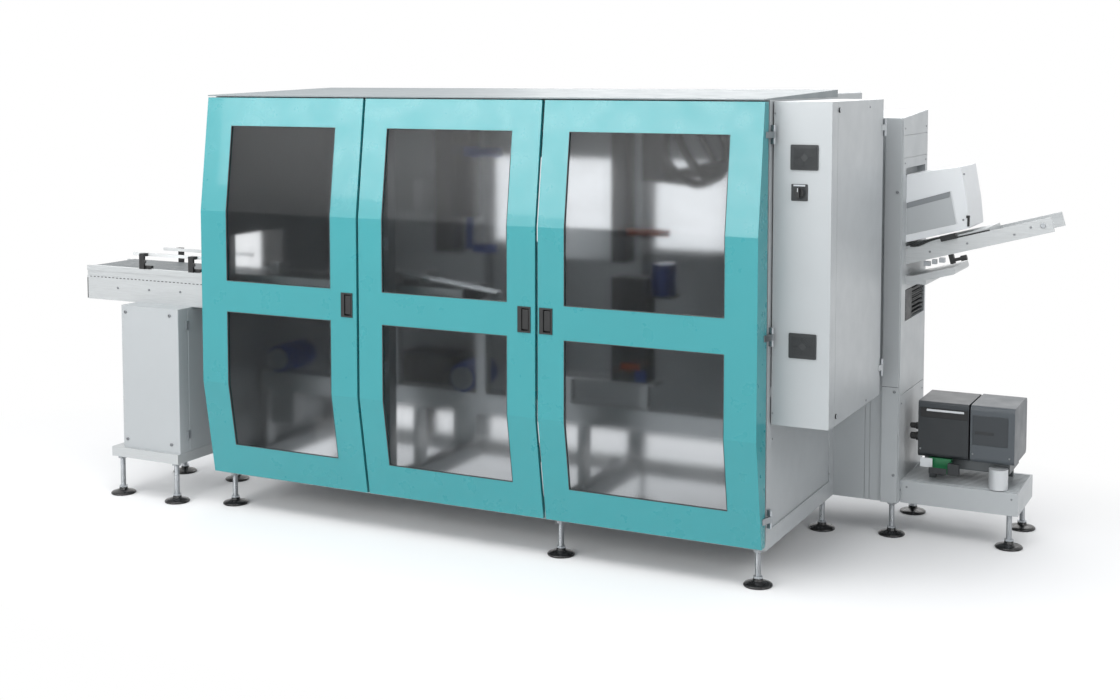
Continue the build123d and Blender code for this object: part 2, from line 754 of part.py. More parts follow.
# Glue melter: a tank half with a lid, a control half and a base on four feet
melter_x = (tower_x + 74, tower_x + 74 + melter_w)
melter_y = (platform_y + 28, platform_y + 28 + melter_depth)
tank_x = (melter_x[0], melter_x[0] + 238)
control_x = (tank_x[1] + 8, melter_x[1])
lid_z = (melter_z[1] - 28, melter_z[1])
rib_top_z = platform_z[1] + rib_h
with BuildPart() as melter_base:
    block((melter_x[0] + 20, melter_x[1] - 30), (melter_y[0] + 60, melter_y[1] - 20),
          (rib_top_z + 60, melter_z[0]))
    for x in (melter_x[0] + 40, melter_x[1] - 80):
        for y in (melter_y[0] + 75, melter_y[1] - 65):
            block((x, x + 30), (y, y + 30), (rib_top_z, rib_top_z + 60))
save(melter_base, "melter_base")

with BuildPart() as melter_tank:
    block(tank_x, melter_y, (melter_z[0], lid_z[0] - 1))
    fillet(melter_tank.part.edges().filter_by(Axis.X).group_by(Axis.Z)[0], radius=24)
    block((tank_x[0] + 30, tank_x[1] - 30), (melter_y[0] + 40, melter_y[1] - 50),
          (melter_z[0] + 70, melter_z[1]), Mode.SUBTRACT)
save(melter_tank, "melter_tank")

lid_pivot_y = melter_y[1] - 8
lid_pivot_z = lid_z[0] + 6
lid_pin_r = 4
with BuildPart() as melter_lid:
    block(tank_x, (melter_y[0], melter_y[1] - 26), lid_z)
    fillet(melter_lid.part.edges().filter_by(Axis.X).group_by(Axis.Z)[-1], radius=12)
    for x in (tank_x[0] + 40, tank_x[1] - 70):
        block((x, x + 30), (melter_y[1] - 26, lid_pivot_y), (lid_z[0], lid_pivot_z + 7))
        with BuildSketch(Plane.YZ.offset(x)):
            with Locations((lid_pivot_y, lid_pivot_z)):
                Circle(7)
        extrude(amount=30)
        with BuildSketch(Plane.YZ.offset(x)):
            with Locations((lid_pivot_y, lid_pivot_z)):
                Circle(lid_pin_r + pin_play)
        extrude(amount=30, mode=Mode.SUBTRACT)
save(melter_lid, "melter_lid")

with BuildPart() as melter_lid_pins:
    for x in (tank_x[0] + 40, tank_x[1] - 70):
        with BuildSketch(Plane.YZ.offset(x - 10)):
            with Locations((lid_pivot_y, lid_pivot_z)):
                Circle(lid_pin_r)
        extrude(amount=50)
        for ear in (x - 10, x + 30.5):
            with BuildSketch(Plane.YZ.offset(ear)):
                with Locations((lid_pivot_y, (lid_z[0] - 1 + lid_pivot_z + 7) / 2)):
                    Rectangle(14, lid_pivot_z + 7 - lid_z[0] + 1)
            extrude(amount=9.5)
save(melter_lid_pins, "melter_lid_pins")

with BuildPart() as melter_control:
    block(control_x, melter_y, melter_z)
    fillet(melter_control.part.edges().filter_by(Axis.X), radius=24)
save(melter_control, "melter_control")

with BuildPart() as glue_pump:
    block((melter_x[0] + 54, melter_x[0] + 156), (melter_y[0] + 6, melter_y[0] + 50),
          (rib_top_z + 40, melter_z[0]))
    with BuildSketch(Plane.XY.offset(rib_top_z)):
        with Locations((melter_x[1] - 72, melter_y[0] + 8)):
            Circle(44)
    extrude(amount=95)
save(glue_pump, "glue_pump")

# Levelling feet: a round pad with a dome, and a threaded spindle up to each frame
main_feet_x = (left_x + 60, seam_x[2] + 42, right_x - 44)
main_feet = [(x, y) for x in main_feet_x for y in (frame_y + 30, rear_y - 30)]
pedestal_feet_x = (pedestal_x[0] - 22, pedestal_x[1] - 38)
pedestal_feet = [(x, y) for x in pedestal_feet_x for y in (pedestal_y[0] + 16, pedestal_y[1] - 16)]
tower_feet = [(tower_x - 37, tower_y + 30), (tower_x - 37, tower_y + tower_depth - 30)]
platform_feet = [(platform_x[1] - 42, platform_y + 24), (platform_x[1] - 42, platform_y + platform_depth - 24)]
rear_housing_feet = [(rear_box_x + 45, rear_y + rear_housing_depth - 45)]
feet = (
    [(x, y, base_z) for x, y in main_feet + tower_feet + rear_housing_feet]
    + [(x, y, pedestal_base_z[0]) for x, y in pedestal_feet]
    + [(x, y, platform_z[1] - 20) for x, y in platform_feet]
)
pad_sides = 24
pad_rim_h = 9
pad_neck_r = 22
pad_cone_h = 22


def ring(x, y, z, radius, sides):
    """Many-sided outline of a turned part at one height."""
    with BuildSketch(Plane.XY.offset(z)) as outline:
        with Locations((x, y)):
            RegularPolygon(radius, sides)
    return outline.sketch


with BuildPart() as foot_pads:
    for x, y, top in feet:
        extrude(ring(x, y, 0, pad_r, pad_sides), amount=pad_rim_h)
        loft([ring(x, y, pad_rim_h, pad_r, pad_sides), ring(x, y, pad_cone_h, pad_neck_r, pad_sides)])
        extrude(ring(x, y, pad_cone_h, pad_neck_r, pad_sides), amount=pad_h - pad_cone_h)
save(foot_pads, "foot_pads")

with BuildPart() as foot_spindles:
    for x, y, top in feet:
        extrude(ring(x, y, pad_h, spindle_r, 16), amount=top - pad_h)
        extrude(ring(x, y, top - 14, 24, 6), amount=14)
save(foot_spindles, "foot_spindles")

# Machine bed: one long beam with a valve shelf, on legs that stand on the base cross rails
inside_bed_y = (front_y + bed_y[0], front_y + bed_y[1])
bed_inset = 20
bed_x = (left_x + bed_inset, right_x - post)
with BuildPart() as machine_bed:
    block(bed_x, inside_bed_y, bed_z)
    block((left_x + gearbox_x[0], left_x + gearbox_x[1]), inside_bed_y, (372, bed_z[0]))
    block((left_x + reducer_x[0], left_x + reducer_x[1]), (inside_bed_y[0] + 10, inside_bed_y[1] - 10),
          (reducer_low_z, bed_z[0]))
    block((left_x + shelf_x[0], left_x + shelf_x[1]), (inside_bed_y[0] + 20, inside_bed_y[1] + 60),
          (shelf_z - 8, shelf_z))
    for x in (left_x + shelf_x[0] + 40, left_x + shelf_x[1] - 80):
        block((x, x + 40), (inside_bed_y[0] + 30, inside_bed_y[1] - 20), (bed_z[1], shelf_z - 8))
save(machine_bed, "machine_bed")

leg_inset = 22
with BuildPart() as bed_legs:
    for x in base_cross_x[:-1]:
        block((x + leg_inset, x + base_tube - leg_inset),
              (inside_bed_y[0] + 10, inside_bed_y[1] - 10), (base_top_z, bed_z[0]))
    for low, high in support_x:
        block((left_x + low, left_x + high), (inside_bed_y[0], inside_bed_y[0] + 50),
              (bed_z[1], transfer_z[0]))
save(bed_legs, "bed_legs")

# Drives on the bed: gearmotors lying across it, with pale end caps
with BuildPart() as gearmotors:
    for x in motor_offsets:
        with BuildSketch(Plane.XZ.offset(-inside_bed_y[0])):
            with Locations((left_x + x, bed_z[1] + motor_r)):
                Circle(motor_r)
        extrude(amount=-motor_len)
    with BuildSketch(Plane.XY.offset(feeder_bracket_z + 12)):
        with Locations((left_x + feeder_x[1] + 66, front_y + (feeder_y[0] + feeder_y[1]) / 2)):
            Circle(56)
    extrude(amount=147)
save(gearmotors, "gearmotors")

with BuildPart() as gearmotor_caps:
    for x in motor_offsets:
        with BuildSketch(Plane.XZ.offset(-inside_bed_y[0])):
            with Locations((left_x + x, bed_z[1] + motor_r)):
                Circle(motor_r - 14)
        extrude(amount=18)
save(gearmotor_caps, "gearmotor_caps")

# Transfer conveyor inside, in line with the infeed, carried by posts from the bed
transfer_x = (left_x + 4, left_x + support_x[1][1])
inside_transfer_y = (front_y + transfer_y[0], front_y + transfer_y[1])
with BuildPart() as transfer_conveyor:
    for y in (inside_transfer_y[0], inside_transfer_y[1] - infeed_plate):
        block(transfer_x, (y, y + infeed_plate), transfer_z)
    for x in (transfer_x[0] + 60, transfer_x[1] - 120):
        block((x, x + 40), (inside_transfer_y[0] + infeed_plate, inside_transfer_y[1] - infeed_plate),
              (transfer_z[0], transfer_z[0] + 40))
save(transfer_conveyor, "transfer_conveyor")

with BuildPart() as transfer_belt:
    block((transfer_x[0] + 10, transfer_x[1] - 10),
          (inside_transfer_y[0] + infeed_plate, inside_transfer_y[1] - infeed_plate),
          (transfer_z[0] + 40, transfer_z[1] - 4))
save(transfer_belt, "transfer_belt")

# Forming heads hang from the middle top rail
with BuildPart() as forming_heads:
    for x, z in zip(head_x, head_low_z):
        block((left_x + x[0], left_x + x[1]), (front_y + head_y[0], front_y + head_y[1]),
              (z, top_rail_z[0]))
save(forming_heads, "forming_heads")

# Carton guides: sloping round bars on the transfer conveyor, and a plate fixed to a forming head
guide_bar_r = 9
guide_bar_start = (left_x + 940, transfer_z[1] + 68)
guide_bar_len = 640
guide_post_x = (left_x + 1000, left_x + 1020)
guide_bar_y = (inside_transfer_y[0] + 20, inside_transfer_y[0] + 60)
with BuildPart() as carton_guides:
    for y in guide_bar_y:
        with BuildSketch(Plane(origin=(guide_bar_start[0], y, guide_bar_start[1]), x_dir=(0, 1, 0),
                               z_dir=(0.993, 0, -0.117))):
            Circle(guide_bar_r)
        extrude(amount=guide_bar_len)
        block(guide_post_x, (y - 6, y + 6), (transfer_z[1] - 4, guide_bar_start[1] - 6))
    block((left_x + guide_plate_x[0], left_x + guide_plate_x[1]),
          (front_y + head_y[0] + 20, front_y + head_y[0] + 60), guide_plate_z)
save(carton_guides, "carton_guides")

# Drive box on two feet from the rear base rail, and the feeder drive on the valve shelf
with BuildPart() as drive_box:
    block((left_x + drive_box_x[0], left_x + drive_box_x[1]),
          (front_y + drive_box_y[0], front_y + drive_box_y[1]), drive_box_z)
    for x in (left_x + drive_box_x[0] + 30, left_x + drive_box_x[1] - 110):
        block((x, x + 40), (front_y + drive_box_y[1] - 30, rear_y - base_tube + 30),
              (base_top_z, drive_box_z[0] + 60))
    block((left_x + feeder_x[0], left_x + feeder_x[1]), (front_y + feeder_y[0], front_y + feeder_y[1]),
          (shelf_z, feeder_top_z))
    block((left_x + feeder_x[1], left_x + feeder_x[1] + 122),
          (front_y + feeder_y[0], front_y + feeder_y[1]), (feeder_bracket_z, feeder_bracket_z + 12))
save(drive_box, "drive_box")
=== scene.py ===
import json
import math

import bmesh
import bpy
from mathutils import Matrix, Vector


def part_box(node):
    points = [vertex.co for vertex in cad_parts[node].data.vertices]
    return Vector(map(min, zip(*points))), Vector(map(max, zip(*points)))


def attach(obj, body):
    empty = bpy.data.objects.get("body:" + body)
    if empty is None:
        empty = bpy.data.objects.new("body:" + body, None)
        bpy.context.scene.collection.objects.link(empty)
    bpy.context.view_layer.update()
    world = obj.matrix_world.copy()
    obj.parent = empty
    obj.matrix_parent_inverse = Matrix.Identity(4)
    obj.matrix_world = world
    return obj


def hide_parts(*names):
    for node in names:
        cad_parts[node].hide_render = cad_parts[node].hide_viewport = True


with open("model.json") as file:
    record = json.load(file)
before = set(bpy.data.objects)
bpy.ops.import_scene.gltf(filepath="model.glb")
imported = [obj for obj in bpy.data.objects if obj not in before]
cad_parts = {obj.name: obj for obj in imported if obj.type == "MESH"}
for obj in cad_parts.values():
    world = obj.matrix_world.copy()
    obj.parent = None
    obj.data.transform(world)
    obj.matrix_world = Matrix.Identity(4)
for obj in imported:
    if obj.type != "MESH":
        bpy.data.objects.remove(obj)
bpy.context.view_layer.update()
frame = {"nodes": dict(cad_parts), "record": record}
nodes = frame["nodes"]
record = frame["record"]

# The machine's left end and the doors' front plane, taken from the CAD
door_lo, door_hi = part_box("left_door_panes")
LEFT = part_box("roof_panel")[0].x
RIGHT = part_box("roof_panel")[1].x
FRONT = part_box("middle_door")[0].y

# Camera: measured from the photograph's edges
camera_data = bpy.data.cameras.new("camera")
camera_data.sensor_width = 36.0
camera_data.lens = 48.95
camera_data.shift_y = -0.1495
camera_data.clip_end = 100.0
camera = bpy.data.objects.new("camera", camera_data)
camera.location = (LEFT + 5.033, FRONT - 5.993, 2.202)
camera.rotation_euler = (math.radians(86.0), 0.0, math.radians(26.70))
bpy.context.scene.collection.objects.link(camera)
bpy.context.scene.camera = camera


# ---------------------------------------------------------------- materials

def srgb(r, g, b):
    """Linear colour from 8-bit sRGB values."""
    out = []
    for v in (r, g, b):
        v = v / 255.0
        out.append(v / 12.92 if v <= 0.04045 else ((v + 0.055) / 1.055) ** 2.4)
    return (out[0], out[1], out[2], 1.0)


class Tree:
    """A material's node tree with a Principled shader and short calls to wire it."""

    def __init__(self, name):
        self.mat = bpy.data.materials.new(name)
        self.mat.use_nodes = True
        self.nodes = self.mat.node_tree.nodes
        self.links = self.mat.node_tree.links
        self.shader = self.nodes["Principled BSDF"]
        self.coords = self.nodes.new("ShaderNodeTexCoord").outputs["Object"]

    def mapped(self, scale):
        node = self.nodes.new("ShaderNodeMapping")
        node.inputs["Scale"].default_value = scale
        self.links.new(self.coords, node.inputs["Vector"])
        return node.outputs["Vector"]

    def noise(self, scale, detail=3.0, rough=0.55, stretch=None):
        node = self.nodes.new("ShaderNodeTexNoise")
        node.inputs["Scale"].default_value = scale
        node.inputs["Detail"].default_value = detail
        node.inputs["Roughness"].default_value = rough
        self.links.new(self.mapped(stretch) if stretch else self.coords, node.inputs["Vector"])
        return node.outputs["Fac"]

    def remap(self, value, low, high, start=0.3, end=0.7):
        node = self.nodes.new("ShaderNodeMapRange")
        node.inputs["From Min"].default_value = start
        node.inputs["From Max"].default_value = end
        node.inputs["To Min"].default_value = low
        node.inputs["To Max"].default_value = high
        self.links.new(value, node.inputs["Value"])
        return node.outputs["Result"]

    def mix(self, value, a, b):
        node = self.nodes.new("ShaderNodeMix")
        node.data_type = "RGBA"
        node.inputs[6].default_value = a
        node.inputs[7].default_value = b
        self.links.new(value, node.inputs[0])
        return node.outputs[2]

    def bump(self, height, strength, distance):
        node = self.nodes.new("ShaderNodeBump")
        node.inputs["Strength"].default_value = strength
        node.inputs["Distance"].default_value = distance
        self.links.new(height, node.inputs["Height"])
        return node

    def beyond(self, axis, value, above=True):
        """1 where the object coordinate on an axis lies past a value, else 0."""
        split = self.nodes.new("ShaderNodeSeparateXYZ")
        self.links.new(self.coords, split.inputs[0])
        test = self.nodes.new("ShaderNodeMath")
        test.operation = "GREATER_THAN" if above else "LESS_THAN"
        self.links.new(split.outputs[axis], test.inputs[0])
        test.inputs[1].default_value = value
        return test.outputs[0]

    def blend(self, mask, a, b):
        """Mix a colour output with another colour by a mask."""
        node = self.nodes.new("ShaderNodeMix")
        node.data_type = "RGBA"
        self.links.new(mask, node.inputs[0])
        self.links.new(a, node.inputs[6])
        node.inputs[7].default_value = b
        return node.outputs[2]

    def soften(self, radius):
        node = self.nodes.new("ShaderNodeBevel")
        node.samples = 4
        node.inputs["Radius"].default_value = radius
        return node.outputs["Normal"]

    def put(self, socket, value):
        target = self.shader.inputs[socket]
        if hasattr(value, "links"):
            self.links.new(value, target)
        else:
            target.default_value = value


def scaled(color, k):
    return (min(1.0, color[0] * k), min(1.0, color[1] * k), min(1.0, color[2] * k), 1.0)


def paint(name, color, rough=0.4, vary=0.06, peel=0.12, edge=0.0015, coat=0.0, metallic=0.0, past=None):
    """Sprayed enamel: slow tone drift, fine orange peel, handled roughness and softened edges.
    past = (axis, value, above, colour, metallic) sets what lies past a plane in another finish."""
    t = Tree(name)
    drift = t.remap(t.noise(1.3, 4.0), 0.0, 1.0)
    base = t.mix(drift, scaled(color, 1 - vary), scaled(color, 1 + vary))
    t.put("Metallic", metallic)
    if past:
        mask = t.beyond(*past[:3])
        base = t.blend(mask, base, past[3])
        t.put("Metallic", t.remap(mask, metallic, past[4], 0.0, 1.0))
    t.put("Base Color", base)
    t.put("Roughness", t.remap(t.noise(9.0, 5.0), rough - 0.06, rough + 0.08))
    t.put("Coat Weight", coat)
    b = t.bump(t.noise(420.0, 2.0), peel, 0.0004)
    t.links.new(t.soften(edge), b.inputs["Normal"])
    t.put("Normal", b.outputs["Normal"])
    return t.mat


def brushed(name, color, rough=0.32, stretch=(6.0, 6.0, 260.0), metallic=1.0, vary=0.1):
    """Brushed sheet: long fine streaks in tone, roughness and bump."""
    t = Tree(name)
    streak = t.noise(3.0, 6.0, 0.7, stretch)
    t.put("Base Color", t.mix(t.remap(streak, 0.0, 1.0), scaled(color, 1 - vary), scaled(color, 1 + vary)))
    t.put("Roughness", t.remap(streak, rough - 0.07, rough + 0.09))
    t.put("Metallic", metallic)
    b = t.bump(streak, 0.12, 0.0003)
    t.links.new(t.soften(0.001), b.inputs["Normal"])
    t.put("Normal", b.outputs["Normal"])
    return t.mat


def plastic(name, color, rough=0.45, grain=0.25, scale=900.0):
    """Moulded plastic or rubber: fine spark-eroded grain and slight sheen change."""
    t = Tree(name)
    t.put("Base Color", t.mix(t.remap(t.noise(4.0, 3.0), 0.0, 1.0), scaled(color, 0.9), scaled(color, 1.12)))
    t.put("Roughness", t.remap(t.noise(30.0, 3.0), rough - 0.08, rough + 0.08))
    b = t.bump(t.noise(scale, 2.0), grain, 0.0004)
    t.links.new(t.soften(0.0012), b.inputs["Normal"])
    t.put("Normal", b.outputs["Normal"])
    return t.mat


def pane(name, color, rough, inside):
    """Tinted guard sheet: slightly diffusing, with faint smears. Light that falls in is cut by inside."""
    t = Tree(name)
    smear = t.noise(2.2, 5.0, 0.6, (1.0, 1.0, 2.2))
    t.put("Base Color", t.mix(t.remap(smear, 0.0, 1.0), scaled(color, 0.96), scaled(color, 1.04)))
    t.put("Roughness", t.remap(smear, rough - 0.015, rough + 0.02))
    t.put("Transmission Weight", 1.0)
    t.put("IOR", 1.2)
    t.put("Alpha", 0.95)
    clear = t.nodes.new("ShaderNodeBsdfTransparent")
    clear.inputs["Color"].default_value = (inside, inside, inside, 1.0)
    rays = t.nodes.new("ShaderNodeLightPath")
    either = t.nodes.new("ShaderNodeMath")
    either.operation = "MAXIMUM"
    t.links.new(rays.outputs["Is Shadow Ray"], either.inputs[0])
    t.links.new(rays.outputs["Is Diffuse Ray"], either.inputs[1])
    both = t.nodes.new("ShaderNodeMixShader")
    t.links.new(either.outputs[0], both.inputs[0])
    t.links.new(t.shader.outputs[0], both.inputs[1])
    t.links.new(clear.outputs[0], both.inputs[2])
    t.links.new(both.outputs[0], t.nodes["Material Output"].inputs["Surface"])
    return t.mat


def chain(name, color):
    """Flat-top chain: a joint every 38 mm along the run, with a fine grain."""
    t = Tree(name)
    wave = t.nodes.new("ShaderNodeTexWave")
    wave.bands_direction = "X"
    wave.wave_profile = "SAW"
    wave.inputs["Scale"].default_value = 1.0 / 0.038 / 6.2832 * 3.1416 * 2
    t.links.new(t.coords, wave.inputs["Vector"])
    gap = t.remap(wave.outputs["Fac"], 0.0, 1.0, 0.02, 0.10)
    t.put("Base Color", t.mix(gap, scaled(color, 0.35), color))
    t.put("Roughness", t.remap(t.noise(30.0, 3.0), 0.42, 0.6))
    b = t.bump(gap, 0.8, 0.003)
    t.put("Normal", b.outputs["Normal"])
    return t.mat


def thread(name, color):
    """Threaded zinc rod: ridges a thread's pitch apart along its height, with painted shade darkening the base colour
    in the grooves.
    """
    t = Tree(name)
    wave = t.nodes.new("ShaderNodeTexWave")
    wave.bands_direction = "Z"
    wave.inputs["Scale"].default_value = 95.0
    wave.inputs["Distortion"].default_value = 0.0
    t.links.new(t.coords, wave.inputs["Vector"])
    # painted shade: the base colour falls to 0.55 of the zinc in the grooves between ridges
    t.put("Base Color", t.mix(wave.outputs["Fac"], scaled(color, 0.55), scaled(color, 1.05)))
    t.put("Metallic", 1.0)
    t.put("Roughness", t.remap(t.noise(60.0, 3.0), 0.24, 0.42))
    b = t.bump(wave.outputs["Fac"], 0.6, 0.0012)
    t.put("Normal", b.outputs["Normal"])
    return t.mat


STEEL = srgb(150, 155, 158)
TEAL = srgb(48, 140, 146)
MAT = {
    "teal_paint": paint("door_enamel", TEAL, rough=0.3, vary=0.03, coat=0.25),
    "window_tint": pane("window_tint", (0.84, 0.86, 0.88, 1.0), 0.2, 0.16),
    "black_plastic": plastic("black_plastic", srgb(26, 27, 28), 0.42),
    "light_grey_paint": paint("body_enamel", srgb(172, 176, 178), rough=0.38, vary=0.03, metallic=0.2),
    "zinc_steel": brushed("zinc", srgb(176, 180, 184), 0.34, (40.0, 40.0, 40.0)),
    "dark_plastic": plastic("dark_plastic", srgb(40, 43, 45), 0.5),
    "cap_plastic": plastic("cap_plastic", srgb(190, 194, 198), 0.4),
    "stainless": brushed("stainless", srgb(188, 191, 192), 0.36, (4.0, 160.0, 160.0), metallic=0.5),
    "belt_rubber": chain("belt_chain", srgb(120, 124, 126)),
    "guide_plastic": plastic("guide_plastic", srgb(206, 208, 208), 0.35),
    "foot_plastic": plastic("foot_rubber", srgb(22, 23, 24), 0.26, 0.12),
    "motor_blue": paint("motor_enamel", srgb(32, 72, 160), rough=0.34, vary=0.08),
    "melter_grey": paint("melter_enamel", srgb(50, 55, 59), rough=0.4, vary=0.06),
    "melter_dark": paint("dark_enamel", srgb(52, 55, 58), rough=0.45, vary=0.06),
}
THREAD = thread("threaded_rod", srgb(178, 182, 186))
PALE = paint("pale_enamel", srgb(205, 208, 210), rough=0.4)
# darker grey for the band along the top of the hood cover: painted shade
HOOD_PAINTED_SHADE = paint("hood_painted_shade", srgb(128, 132, 135), rough=0.4)
ORANGE = paint("orange_enamel", srgb(216, 92, 44), rough=0.4)
SCREW = brushed("screw_steel", srgb(140, 143, 146), 0.3, (60.0, 60.0, 60.0))
HOSE = plastic("hose_rubber", srgb(30, 32, 34), 0.5)

slot_of = {s["node"]: s["material_slot"] for s in record["subparts"]}
for name, obj in nodes.items():
    obj.data.materials.clear()
    obj.data.materials.append(MAT[slot_of[name]])

for name, mat in {
    "foot_spindles": THREAD,
    "left_door": paint("left_door_enamel", TEAL, 0.3, 0.03, coat=0.25, past=(0, LEFT - 0.004, False, STEEL, 0.9)),
    "right_door": paint("right_door_enamel", TEAL, 0.3, 0.03, coat=0.25,
                        past=(0, RIGHT + 0.001, True, STEEL, 0.9)),
    "glue_pump": paint("pump_cast", srgb(28, 108, 66), 0.35, 0.1,
                       past=(0, 2.08, True, srgb(196, 199, 201), 0.3)),
    "roof_panel": paint("roof_enamel", srgb(128, 136, 139), 0.45, 0.03),
    "magazine_hood": paint("hood_enamel", srgb(216, 219, 221), 0.35, 0.02),
    "melter_tank": paint("melter_front_enamel", srgb(38, 42, 45), 0.38, 0.06),
    "melter_control": paint("melter_side_enamel", srgb(74, 80, 85), 0.4, 0.06),
    "melter_base": paint("melter_base_cast", srgb(92, 96, 98), 0.4, 0.1, metallic=0.4),
}.items():
    nodes[name].data.materials[0] = mat


# ---------------------------------------------------------------- mesh helpers

def finish_mesh(bm, name, mat, body="machine", smooth=False):
    """Turn a bmesh into a piece that rides on a body."""
    mesh = bpy.data.meshes.new(name)
    bmesh.ops.recalc_face_normals(bm, faces=bm.faces)
    bm.to_mesh(mesh)
    bm.free()
    if smooth:
        for p in mesh.polygons:
            p.use_smooth = True
    mesh.materials.append(mat)
    obj = bpy.data.objects.new(name, mesh)
    bpy.context.scene.collection.objects.link(obj)
    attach(obj, body)
    return obj


def add_box(bm, lo, hi, bevel=0.0):
    """A box between two corners, with its edges eased by bevel."""
    made = bmesh.ops.create_cube(bm, size=1.0)
    verts = made["verts"]
    lo, hi = Vector(lo), Vector(hi)
    for v in verts:
        v.co = Vector(((v.co.x + 0.5) * (hi.x - lo.x) + lo.x,
                       (v.co.y + 0.5) * (hi.y - lo.y) + lo.y,
                       (v.co.z + 0.5) * (hi.z - lo.z) + lo.z))
    if bevel > 0:
        edges = {e for v in verts for e in v.link_edges}
        bmesh.ops.bevel(bm, geom=list(edges), offset=bevel, segments=2, affect="EDGES", profile=0.6)


def add_rod(bm, a, b, radius, sides=20, bevel=0.0):
    """A round bar from a to b with flat ends."""
    a, b = Vector(a), Vector(b)
    axis = b - a
    turn = axis.to_track_quat("Z", "Y").to_matrix().to_4x4()
    made = bmesh.ops.create_cone(bm, cap_ends=True, segments=sides, radius1=radius, radius2=radius,
                                 depth=axis.length, matrix=Matrix.Translation((a + b) / 2) @ turn)
    if bevel > 0:
        ring = [e for e in {e for v in made["verts"] for e in v.link_edges}
                if any(len(f.verts) > 4 for f in e.link_faces)]
        bmesh.ops.bevel(bm, geom=ring, offset=bevel, segments=2, affect="EDGES", profile=0.6)


def boxes(name, spans, mat, body="machine", bevel=0.0015):
    """Several eased boxes as one piece."""
    bm = bmesh.new()
    for lo, hi in spans:
        add_box(bm, lo, hi, bevel)
    return finish_mesh(bm, name, mat, body)


def rods(name, runs, mat, body="machine", slot=None, sides=20, bevel=0.001):
    """Several round bars as one piece: each run is (a, b, radius)."""
    bm = bmesh.new()
    for a, b, radius in runs:
        add_rod(bm, a, b, radius, sides, bevel)
    return finish_mesh(bm, name, mat, body)


def at(x, y, z):
    """A point given from the machine's left end and the doors' front plane."""
    return (LEFT + x, FRONT + y, z)


def lathe(bm, profile, origin, axis=(0, 0, 1), sides=32):
    """Turn a list of (radius, height) points about an axis through origin."""
    turn = Vector(axis).to_track_quat("Z", "Y").to_matrix()
    origin = Vector(origin)
    rings = []
    for radius, height in profile:
        if radius <= 0:
            rings.append([bm.verts.new(origin + turn @ Vector((0, 0, height)))])
            continue
        rings.append([bm.verts.new(origin + turn @ Vector((radius * math.cos(2 * math.pi * k / sides),
                                                           radius * math.sin(2 * math.pi * k / sides),
                                                           height))) for k in range(sides)])
    for a, b in zip(rings[:-1], rings[1:]):
        for k in range(sides):
            m = (k + 1) % sides
            if len(a) == 1:
                bm.faces.new((a[0], b[k], b[m]))
            elif len(b) == 1:
                bm.faces.new((a[k], a[m], b[0]))
            else:
                bm.faces.new((a[k], a[m], b[m], b[k]))
    if len(rings[0]) > 1:
        bm.faces.new(list(reversed(rings[0])))
    if len(rings[-1]) > 1:
        bm.faces.new(rings[-1])


def screws(name, places, normal, radius=0.0045, mat=None, body="machine"):
    """Socket-headed screws that stand on a face at the given places."""
    bm = bmesh.new()
    r, h = radius, radius * 0.55
    head = [(r, -0.0005), (r, h * 0.6), (r * 0.86, h), (r * 0.5, h), (r * 0.46, h * 0.4), (0, h * 0.35)]
    for place in places:
        lathe(bm, head, place, normal, 18)
    return finish_mesh(bm, name, mat or SCREW, body)


def plate(name, outline, y, thick, mat, body="machine", bevel=0.0008):
    """A flat plate on a face that looks to the front, from (x, z) corners; y is the face it stands on."""
    bm = bmesh.new()
    back = [bm.verts.new((x, y + 0.0005, z)) for x, z in outline]
    face = bm.faces.new(back)
    made = bmesh.ops.extrude_face_region(bm, geom=[face])
    for v in made["geom"]:
        if isinstance(v, bmesh.types.BMVert):
            v.co.y -= thick + 0.0005
    bmesh.ops.bevel(bm, geom=[e for e in bm.edges], offset=bevel, segments=1, affect="EDGES")
    return finish_mesh(bm, name, mat, body)


def hose(name, points, radius, mat, body="machine", sides=12, steps=8):
    """A bent tube through points, swept as a mesh."""
    pts = [Vector(p) for p in points]
    path = []
    for i in range(len(pts) - 1):
        p0, p1, p2, p3 = pts[max(i - 1, 0)], pts[i], pts[i + 1], pts[min(i + 2, len(pts) - 1)]
        for k in range(steps):
            u = k / steps
            path.append(0.5 * (2 * p1 + (p2 - p0) * u + (2 * p0 - 5 * p1 + 4 * p2 - p3) * u * u
                               + (3 * p1 - p0 - 3 * p2 + p3) * u ** 3))
    path.append(pts[-1])
    bm = bmesh.new()
    side = Vector((0, 1, 0))
    rings = []
    for i, c in enumerate(path):
        run = (path[min(i + 1, len(path) - 1)] - path[max(i - 1, 0)]).normalized()
        side = (side - run * side.dot(run)).normalized()
        up = run.cross(side)
        rings.append([bm.verts.new(c + radius * (math.cos(2 * math.pi * k / sides) * side
                                                 + math.sin(2 * math.pi * k / sides) * up))
                      for k in range(sides)])
    for a, b in zip(rings[:-1], rings[1:]):
        for k in range(sides):
            m = (k + 1) % sides
            bm.faces.new((a[k], a[m], b[m], b[k]))
    bm.faces.new(list(reversed(rings[0])))
    bm.faces.new(rings[-1])
    return finish_mesh(bm, name, mat, body, smooth=True)


# ---------------------------------------------------------------- doors

LINE = ((2.095, 0.073), (1.530, 0.0), (0.665, 0.0), (0.185, 0.080))


def face_y(z):
    """The doors' front surface at height z."""
    for (z1, y1), (z0, y0) in zip(LINE[:-1], LINE[1:]):
        if z >= z0:
            return FRONT + y0 + (y1 - y0) * (z - z0) / (z1 - z0)
    return FRONT + LINE[-1][1]


def strip(bm, xs, zs, proud, inset):
    """A flat bar that follows the bulged front between two X values and down a list of heights."""
    rows = []
    for z in zs:
        y = face_y(z)
        rows.append([bm.verts.new((xs[0], y - proud, z)), bm.verts.new((xs[1], y - proud, z)),
                     bm.verts.new((xs[1], y + inset, z)), bm.verts.new((xs[0], y + inset, z))])
    for a, b in zip(rows[:-1], rows[1:]):
        for i in range(4):
            j = (i + 1) % 4
            bm.faces.new((a[i], a[j], b[j], b[i]))
    bm.faces.new(rows[0])
    bm.faces.new(list(reversed(rows[-1])))


